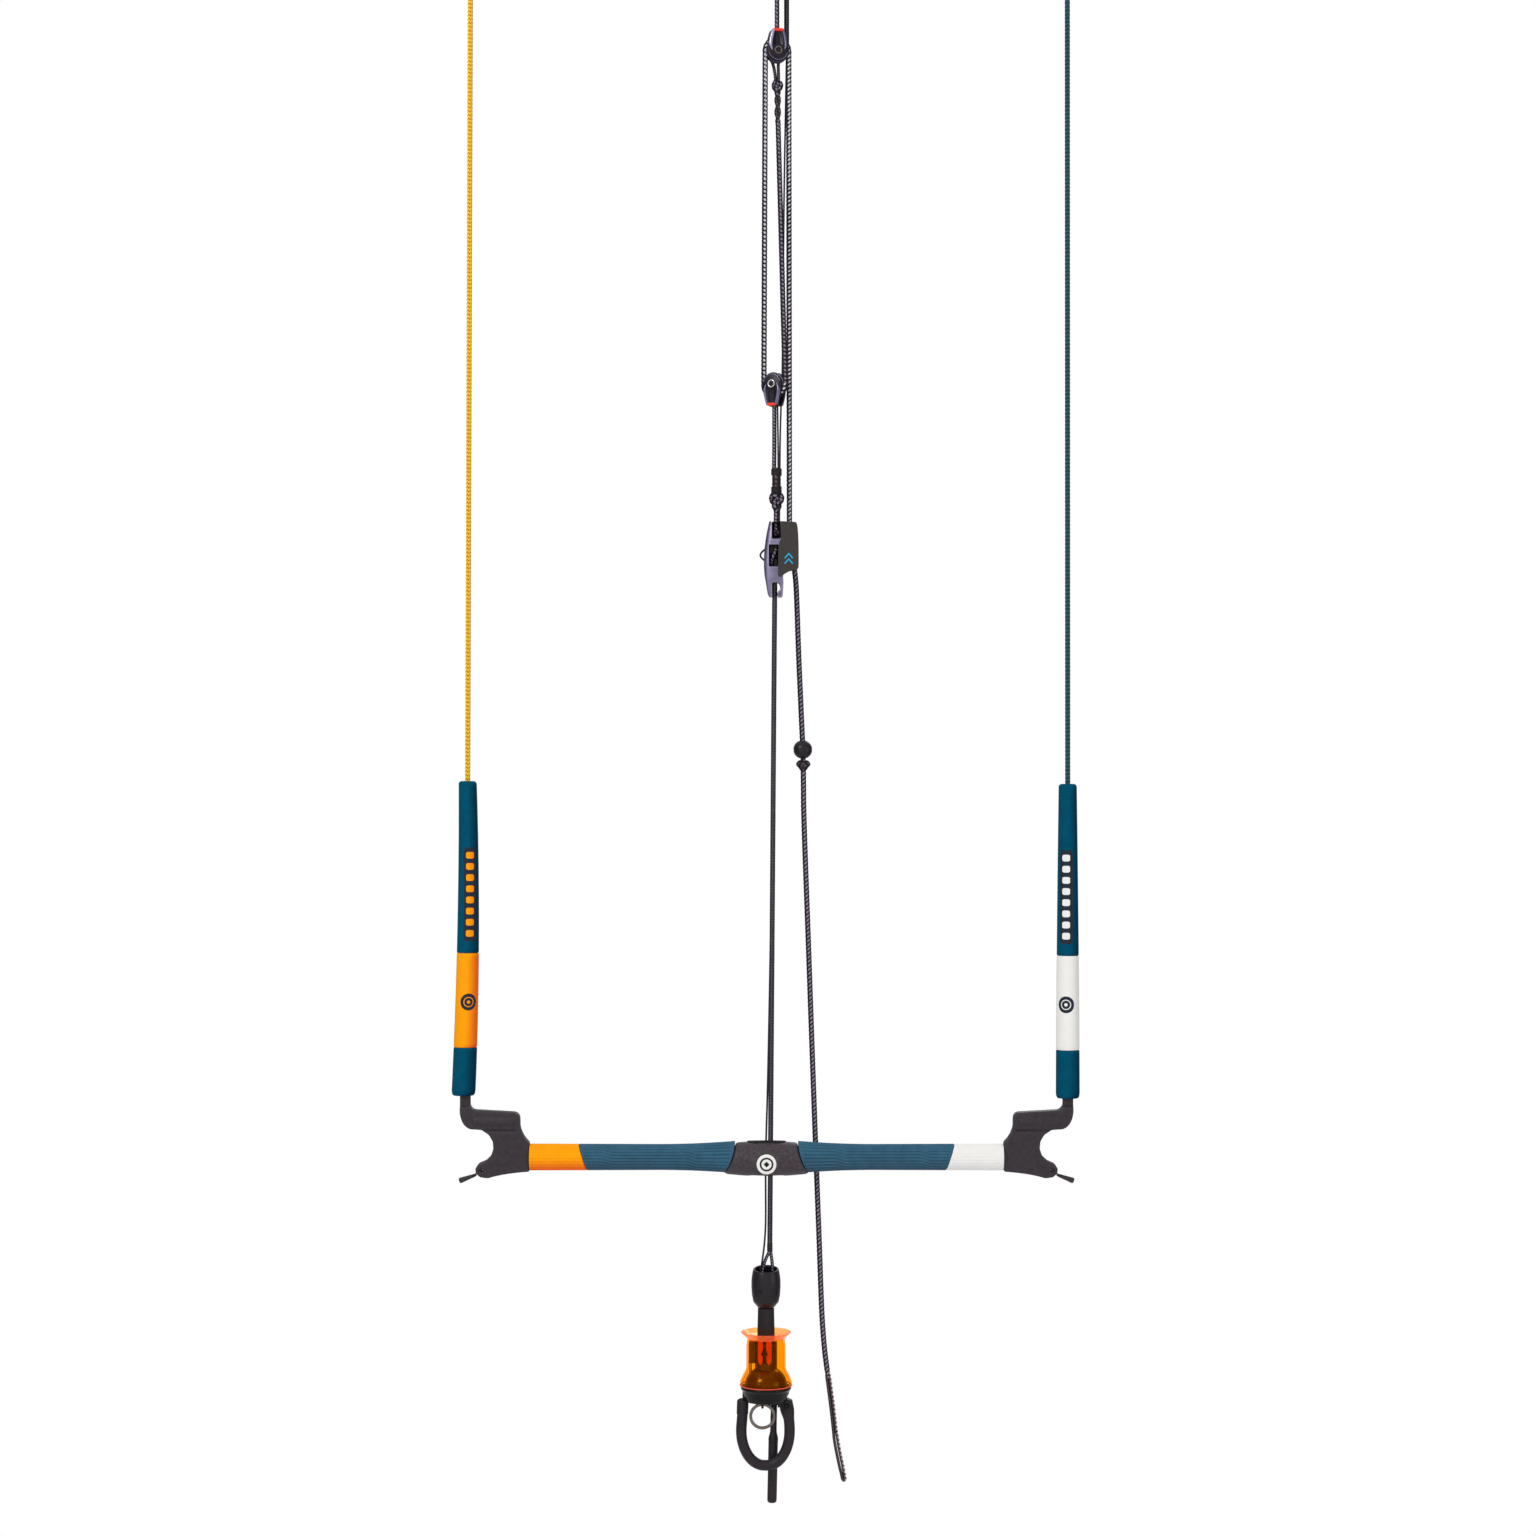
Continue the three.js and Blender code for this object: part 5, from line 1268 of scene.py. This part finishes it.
def grips():
    for word, side, finish in (("left", -1, foam_orange), ("right", 1, foam_white)):
        def inner(z):
            return insert_edge(z) + 0.35

        def outer(z):
            return tip_edge(z) + 0.3

        covering(f"grip_{word}_ribbed", side, inner, tip_edge, 1.3, 1.0, grip_teal, [f"grip_{word}"])
        covering(f"grip_{word}_tip", side, outer, GRIP_END, 1.6, 0.3, finish, [f"grip_tip_{word}"])


def centre_moulding():
    """The soft centre with its slot for the lines, its sockets for the tubes and its badge seat."""
    rows, around = 60, 96
    angles = np.arange(around) * TURN / around
    drop = -1.5
    z_mid = 13 * np.cos(angles)
    edge = insert_edge(z_mid)
    rings = []
    for u in np.linspace(-1, 1, rows):
        x = u * edge
        radius = 16 - 1.9 * np.abs(x / 32) ** 1.6 - 1.1 * smoothstep(0.94, 1.0, abs(u))
        rings.append(np.stack([x, radius * np.sin(angles), radius * np.cos(angles) + drop], axis=1))
    count = rows * around
    faces = grid_faces(rows, around)
    faces += [tuple(reversed(range(around))), tuple(range(count - around, count))]
    obj = solid("centre_moulding", np.vstack(rings) + BAR, faces)
    ball_radius = 10.6
    cutters = [slot_cutter(), sphere(BAR, ball_radius), drum(BAR + (0, -badge_seat() - 10, -4.8), 9.3, 10, "y")]
    for side in (-1, 1):
        cutters.append(drum(BAR + (side * 34, 0, 0), 8.3, 20, "x"))
    for cutter in cutters:
        carve(obj, cutter)
    soften(obj, 0.6, 5)
    finish_piece(obj, centre_foam, "bar", ["centre_insert"], sharp=80)
    slot_mouth_shade()
    badge()


def slot_mouth_shade():
    """A black ring round the slot's upper mouth, laid on the moulding's rounded top: painted shade for the dark mouth
    of the slot.
    """
    half_length, half_depth = 16.6, 5.4
    turns = np.linspace(0, TURN, 72, endpoint=False)
    x = half_length * np.cos(turns)
    y = half_depth * np.sign(np.sin(turns)) * np.abs(np.sin(turns)) ** 0.7
    top = np.sqrt((16 - 1.9 * np.abs(x / 32) ** 1.6) ** 2 - y ** 2) - 1.5
    path = np.stack([x, y, top - 0.1], axis=1) + BAR
    tube("centre_slot_rim", path, 0.95, arrow_black, "bar", sides=14, closed=True, reference=UP)


def slot_cutter():
    """The slot that the lines run through: it flares towards its mouths, above and below."""
    throat, mouth, half_depth, height = 7.4, 17.6, 5.5, 17.0
    rings = []
    for level in np.linspace(-height, height, 13):
        half = throat + (mouth - throat) * abs(level) / height - half_depth
        arc = np.linspace(-math.pi / 2, math.pi / 2, 13)
        right = np.stack([half + half_depth * np.cos(arc), half_depth * np.sin(arc)], axis=1)
        left = -right
        outline = np.vstack([right, left])
        rings.append(np.column_stack([outline, np.full(len(outline), level)]))
    around = len(rings[0])
    faces = grid_faces(len(rings), around)
    faces += [tuple(reversed(range(around))), tuple(range((len(rings) - 1) * around, len(rings) * around))]
    return np.vstack(rings) + BAR, faces


def sphere(centre, radius, rings=24, around=32):
    """Vertices and faces of a ball, as a cutter."""
    vertices = []
    for i in range(rings + 1):
        polar = math.pi * i / rings
        size = radius * math.sin(polar) + 1e-6
        for a, b in ring_of(size, around):
            vertices.append((a, b, -radius * math.cos(polar)))
    faces = grid_faces(rings + 1, around)
    faces += [tuple(reversed(range(around))), tuple(range(rings * around, (rings + 1) * around))]
    return np.array(vertices) + centre, faces


def badge_seat():
    return 13.6


def badge():
    """A round white badge with a plain ring and a diamond as its mark."""
    low, high = span("centre_badge")
    centre = np.array([(low[0] + high[0]) / 2, low[1], (low[2] + high[2]) / 2])
    radius = (high[0] - low[0]) / 2
    disc = [(0, -1.6), (radius - 0.3, -1.6), (radius, -0.5), (radius - 0.7, 0.12), (0, 0.25)]
    lathe("centre_badge_disc", disc, centre, foam_white, "bar", ["centre_badge"], 0.3, 72, tilt=(0, -1, 0))
    sign("centre_badge_mark", centre + (0, -0.2, 0), radius * 0.68, arrow_black, "bar")


def sign(name, centre, size, finish, body, thickness=0.25):
    """A generic mark that faces the camera: a ring round a small diamond."""
    inner, outer = size * 0.76, size
    ring = [(inner, 0), (outer, 0), (outer, thickness), (inner, thickness)]
    lathe(f"{name}_ring", ring, centre, finish, body, round_by=0, segments=64, tilt=(0, -1, 0))
    half = 0.3 * size
    diamond = np.array([(-half, 0, -half), (0, 0, 0), (half, 0, half)]) / math.sqrt(2)
    ribbon(f"{name}_diamond", centre + diamond - (0, thickness, 0), 2 * half, thickness, finish, body)


# Winders, keepers, floats -------------------------------------------------------------------

def winder(word, side):
    """The soft end of the bar that lines are wound on: thicker above its fold, with a cord hole."""
    node_name = f"winder_{word}"
    low, high = span(node_name)
    near, far = BAR[0] + side * 224, BAR[0] + side * 262
    left, right = min(near, far), max(near, far)

    fold, arm_top = BAR[2] + 24.6, BAR[2] + 39.0
    half = (high[1] - low[1]) / 2
    pad, pad_faces = drum(np.zeros(3), (arm_top - fold) / 2 - 0.6, 17.5, "x")
    pad_middle = np.array([(near + far) / 2 + side * 2, 0, (arm_top + fold) / 2 + 0.6])
    extra = [("UNION", (np.array(pad) * (1, 1.28, 1) + pad_middle, pad_faces))]
    for face in (-1, 1):
        crease_low, crease_high = sorted((face * (half - 1.8), face * 15))
        extra.append(("DIFFERENCE", block((left - 1, crease_low, fold - 1), (right + 1, crease_high, fold + 1))))
    extra.append(("DIFFERENCE", drum(BAR + (side * 255.5, 0, -11.5), 1.3, 12, "y", 24)))
    hinge = np.array(joint(f"{word}_float_swing")["pos_m"]) / MM
    extra.append(("UNION", block(hinge - (4.4, 4.4, 4), hinge + (4.4, 4.4, 2.4))))
    softened(f"winder_{word}_soft", node_name, 0.8, winder_black, "bar", passes=8, extra=extra)


def keeper(word, side):
    """The toggle on its cord that holds the wound lines on the horn."""
    hinge = np.array(joint(f"{word}_keeper_swing")["pos_m"]) / MM
    direction = np.array([side * math.cos(math.radians(20)), 0, -math.sin(math.radians(20))])
    toggle = [(0, -1.6), (1.1, -1.4), (1.5, 1), (1.9, 6), (2.4, 11.5), (2.6, 13.4), (2.1, 14.8), (0, 15.1)]
    lathe(f"keeper_{word}_toggle", toggle, hinge, winder_black, f"{word}_keeper", [f"keeper_{word}"], 0.35, 40,
          tilt=direction)
    start = hinge + direction * 2.2
    hole = BAR + (side * 255.5, 0, -11.5)
    loop = [start + (0, -1.0, 0.2), hinge + (-side * 2.5, -3.4, 2.2), hole + (side * 1.4, -7.6, 0.6),
            hole + (0, -6.6, 0), hole + (0, 6.6, 0), hole + (side * 1.4, 7.6, 0.6),
            hinge + (-side * 2.5, 3.4, 2.2), start + (0, 1.0, 0.2)]
    tube(f"keeper_{word}_cord", smooth_path(loop, 0.8), 0.6, tube_black, "bar", sides=10,
         reference=np.array([side * 0.4, 0, 1.0]))


FLOAT_LENGTH = 282.5
FLOAT_TOP_RADIUS = 8.1
BAND_FOOT = 43.5
BAND_TOP = 128.3
STRIP_LOW, STRIP_HIGH = 139.0, 223.0
FLOAT_LIFT = {"left": 1.6, "right": -1.0}        # of the foam on its hinge, against the CAD's float
FLOAT_BOW = {"left": (2.7, 9.1), "right": (0.0, 0.0)}   # sideways bow at its peak, and how it falls off
BOW_PEAK = 0.7                         # share of the float's length where the bow is strongest


def float_place(word):
    """Foot of a float's axis, its lean and its foot's radius."""
    low, high = span(f"float_{word}_foot")
    radius = (high[1] - low[1]) / 2
    hinge = np.array(joint(f"{word}_float_swing")["pos_m"]) / MM
    foot = np.array([hinge[0], 0, low[2] + 0.1 + FLOAT_LIFT[word]])
    top_x = rope_middles(f"leader_{word}", 2)[-1][0]
    return foot, math.asin((top_x - foot[0]) / FLOAT_LENGTH), radius


def float_radius(height, foot_radius):
    return foot_radius - (foot_radius - FLOAT_TOP_RADIUS) * (height / FLOAT_LENGTH) ** 1.5


def bow(obj, word):
    """Bends a float's piece sideways, as the soft foam of the left float bows a little to the right."""
    peak, fall = FLOAT_BOW[word]
    foot_z = float_place(word)[0][2]
    for vertex in obj.data.vertices:
        share = min(1.0, (vertex.co.z / MM - foot_z) / FLOAT_LENGTH)
        vertex.co.x += (peak - fall * (share - BOW_PEAK) ** 2) * MM


def float_patch(name, word, low, high, half_width, at, lift, finish, rows=24, columns=7, corner=0.0):
    """A thin layer on a float's skin between two heights, as wide as half_width each way."""
    foot, lean, foot_radius = float_place(word)
    vertices = []
    for layer in (lift, -0.4):
        for height in np.linspace(low, high, rows):
            end = min(height - low, high - height)
            half = half_width
            if corner and end < corner:
                half = half_width - corner + math.sqrt(max(0.0, corner ** 2 - (corner - end) ** 2))
            radius = float_radius(height, foot_radius)
            for u in np.linspace(-1, 1, columns):
                angle = at + u * half / radius
                size = radius + layer
                vertices.append((size * math.cos(angle), size * math.sin(angle), height))
    faces = grid_faces(rows, columns, wrap_columns=False)
    count = rows * columns
    faces += [tuple(count + corner_index for corner_index in reversed(quad)) for quad in faces]
    rim = list(range(columns)) + [i * columns + columns - 1 for i in range(1, rows)]
    rim += [count - 1 - j for j in range(1, columns)] + [i * columns for i in range(rows - 2, 0, -1)]
    for a, b in zip(rim, rim[1:] + rim[:1]):
        faces.append((b, a, count + a, count + b))
    bow(piece(name, moved(vertices, foot, lean=lean), faces, finish, f"{word}_float", sharp=40), word)


def float_body(word, side, band_finish, sign_finish):
    """A foam float in three lengths, with a plain side strip and a round mark."""
    foot, lean, foot_radius = float_place(word)
    body = f"{word}_float"
    bore, socket, socket_depth = 2.6, 8.6, 7.0

    def skin(height):
        return float_radius(height, foot_radius)

    heights = np.linspace(4.5, BAND_FOOT - 1.2, 14)
    lower = [(bore, socket_depth), (socket, socket_depth), (socket, 0.2), (foot_radius - 1.7, 0),
             (foot_radius - 0.9, 0.7), (foot_radius - 0.3, 2.2)]
    lower += [(skin(height), height) for height in heights]
    lower += [(skin(BAND_FOOT) - 0.5, BAND_FOOT - 0.2), (bore, BAND_FOOT - 0.2)]
    heights = np.linspace(BAND_FOOT + 1, BAND_TOP - 1, 28)
    band = [(bore, BAND_FOOT), (skin(BAND_FOOT) - 0.5, BAND_FOOT)]
    band += [(skin(height), height) for height in heights]
    band += [(skin(BAND_TOP) - 0.5, BAND_TOP - 0.2), (bore, BAND_TOP - 0.2)]
    heights = np.linspace(BAND_TOP + 1, FLOAT_LENGTH - 2.2, 50)
    upper = [(bore, BAND_TOP), (skin(BAND_TOP) - 0.5, BAND_TOP)]
    upper += [(skin(height), height) for height in heights]
    upper += [(FLOAT_TOP_RADIUS - 0.8, FLOAT_LENGTH - 0.7), (FLOAT_TOP_RADIUS - 2.4, FLOAT_LENGTH),
              (bore, FLOAT_LENGTH)]
    for part_name, profile, finish in (("foot", lower, float_teal), ("band", band, band_finish),
                                       ("top", upper, float_teal)):
        foam = lathe(f"float_{word}_{part_name}_foam", profile, foot, finish, body,
                     [f"float_{word}_{part_name}"], round_by=0, segments=64, lean=lean)
        bow(foam, word)
    turned_in = FRONT - side * 0.25
    float_patch(f"float_{word}_strip", word, STRIP_LOW, STRIP_HIGH, 6.0, turned_in, 0.12, mark_navy, corner=1.5)
    heights = np.linspace(STRIP_LOW + 7, STRIP_HIGH - 7, 8)
    for i, height in enumerate(heights):
        float_patch(f"float_{word}_dash_{i}", word, height - 3.0, height + 3.0, 3.5, turned_in, 0.3, sign_finish,
                    rows=12, columns=5, corner=1.5)
    float_disc(word, turned_in, sign_finish)


def float_disc(word, at, sign_finish):
    """A round dark patch on the coloured band, with a plain ring in it."""
    foot, lean, foot_radius = float_place(word)
    centre_height, size = BAND_FOOT + 41.0, 7.5
    around, body = 40, f"{word}_float"

    def lay(radii, lift):
        rings = []
        for reach in radii:
            for j in range(around):
                turn = TURN * j / around
                height = centre_height + reach * math.sin(turn)
                radius = float_radius(height, foot_radius)
                angle = at + reach * math.cos(turn) / radius
                rings.append(((radius + lift) * math.cos(angle), (radius + lift) * math.sin(angle), height))
        return rings

    def layer(name, radii, lift, finish):
        vertices = lay(radii, lift) + lay(list(reversed(radii)), -0.4)
        faces = grid_faces(2 * len(radii), around, wrap_rows=True)
        bow(piece(name, moved(vertices, foot, lean=lean), faces, finish, body, sharp=40), word)

    layer(f"float_{word}_disc", [0.01, 2, 4, 6, size], 0.14, mark_navy)
    layer(f"float_{word}_disc_ring", [3.8, 4.2, 4.6], 0.3, sign_finish)
    layer(f"float_{word}_disc_dot", [0.01, 0.8, 1.5], 0.3, sign_finish)


def leader(word, finish, hand):
    """The line that runs up through a float to the kite."""
    foot, lean, foot_radius = float_place(word)
    along = np.array([math.sin(lean), 0, math.cos(lean)])
    middles = rope_middles(f"leader_{word}", 2)
    top = middles[np.argmax(middles[:, 2])]
    start = foot + along * (FLOAT_LENGTH - 12)
    exit_point = foot + along * FLOAT_LENGTH
    path = [start, exit_point, exit_point * 0.97 + top * 0.03, top]
    rope = braided(f"leader_{word}_rope", path, 2.05, finish, f"{word}_float", [f"leader_{word}"], pitch=3.45,
                   strands=8, hand=hand, relief=0.14, columns=0, fine=4)
    bow(rope, word)


# Studio -------------------------------------------------------------------------------------

def studio():
    """A pale floor below the hanging bar, a white world, soft lights and the camera.
    The world lights the object most from the front and above, and little from its sides."""
    scene = bpy.context.scene
    scene.view_settings.view_transform = "Standard"
    scene.view_settings.look = "None"
    world = bpy.data.worlds.new("studio_world")
    scene.world = world
    world.use_nodes = True
    tree = world.node_tree
    sky = tree.nodes["Background"]
    outward = node(tree, "ShaderNodeTexCoord").outputs["Generated"]
    parts = node(tree, "ShaderNodeSeparateXYZ", {"Vector": outward}).outputs
    depth = node(tree, "ShaderNodeMapRange", {"Value": parts["Y"], "From Min": -1.0, "From Max": 1.0}).outputs[0]
    grey = [(level, level, level, 1.0) for level in (0.9, 0.6, 0.16, 0.3, 0.6)]
    around = ramp(tree, depth, (0.0, grey[0]), (0.22, grey[1]), (0.5, grey[2]), (0.75, grey[3]), (1.0, grey[4]))
    above = ramp(tree, parts["Z"], (0.45, (0, 0, 0, 1)), (0.9, (0.95, 0.95, 0.95, 1)))
    glow = node(tree, "ShaderNodeMixRGB", {"Fac": 1.0, "Color1": around, "Color2": above}, blend_type="LIGHTEN")
    glow = glow.outputs["Color"]
    seen = node(tree, "ShaderNodeLightPath").outputs["Is Camera Ray"]
    white = (1.0, 1.0, 1.0, 1.0)
    mixed = node(tree, "ShaderNodeMixRGB", {"Fac": seen, "Color1": glow, "Color2": white})
    tree.links.new(mixed.outputs["Color"], sky.inputs["Color"])
    sky.inputs["Strength"].default_value = 1.0
    floor_radius, floor_z = 1040.0, -330.0
    rim = [(x * MM, y * MM, floor_z * MM) for x, y in ring_of(floor_radius, 128)]
    mesh = bpy.data.meshes.new("floor")
    mesh.from_pydata(rim, [], [tuple(range(len(rim)))])
    floor = bpy.data.objects.new("floor", mesh)
    scene.collection.objects.link(floor)
    mesh.materials.append(surface("floor_paper", "floor", colour(236, 236, 238), 0.9, vary=0.01))
    lights = (("key", (-1500, -1700, 1900), 700, 26.0), ("fill", (1900, -1100, 500), 900, 5.0),
              ("back", (600, 1800, 1500), 1000, 10.0))
    for name, place, size, watts in lights:
        light = bpy.data.lights.new(name, "AREA")
        light.energy = watts
        light.size = size * MM
        lamp = bpy.data.objects.new(name, light)
        lamp.location = Vector(place) * MM
        aim = Vector((0, 0, 0.6)) - lamp.location
        lamp.rotation_euler = aim.to_track_quat("-Z", "Y").to_euler()
        scene.collection.objects.link(lamp)
    camera = bpy.data.cameras.new("camera")
    camera.sensor_width = 36
    camera.lens = 72.7
    eye = bpy.data.objects.new("camera", camera)
    eye.location = Vector((1.8, -2790, 622.35)) * MM
    eye.rotation_euler = (math.pi / 2, 0, 0)
    scene.collection.objects.link(eye)
    scene.camera = eye


front_line()
safety_top()
tackle_ropes()
becket()
pulley_block("upper", "front_line_set", "upper_wheel", False)
pulley_block("lower", "centre_line_set", "lower_wheel", True)
block_tether()
cleat()
depower_line()
trim_tail()
stopper_ball()
swivel()
stem()
core()
release_base()
sleeve()
carried_over()
harness_loop()
leash_ring()
retainer()
grips()
centre_moulding()
for bar_end, bar_side in (("left", -1), ("right", 1)):
    winder(bar_end, bar_side)
    keeper(bar_end, bar_side)
float_body("left", -1, foam_orange, foam_orange)
float_body("right", 1, foam_white, foam_white)
leader("left", orange_rope, 1)
leader("right", teal_rope, -1)
studio()
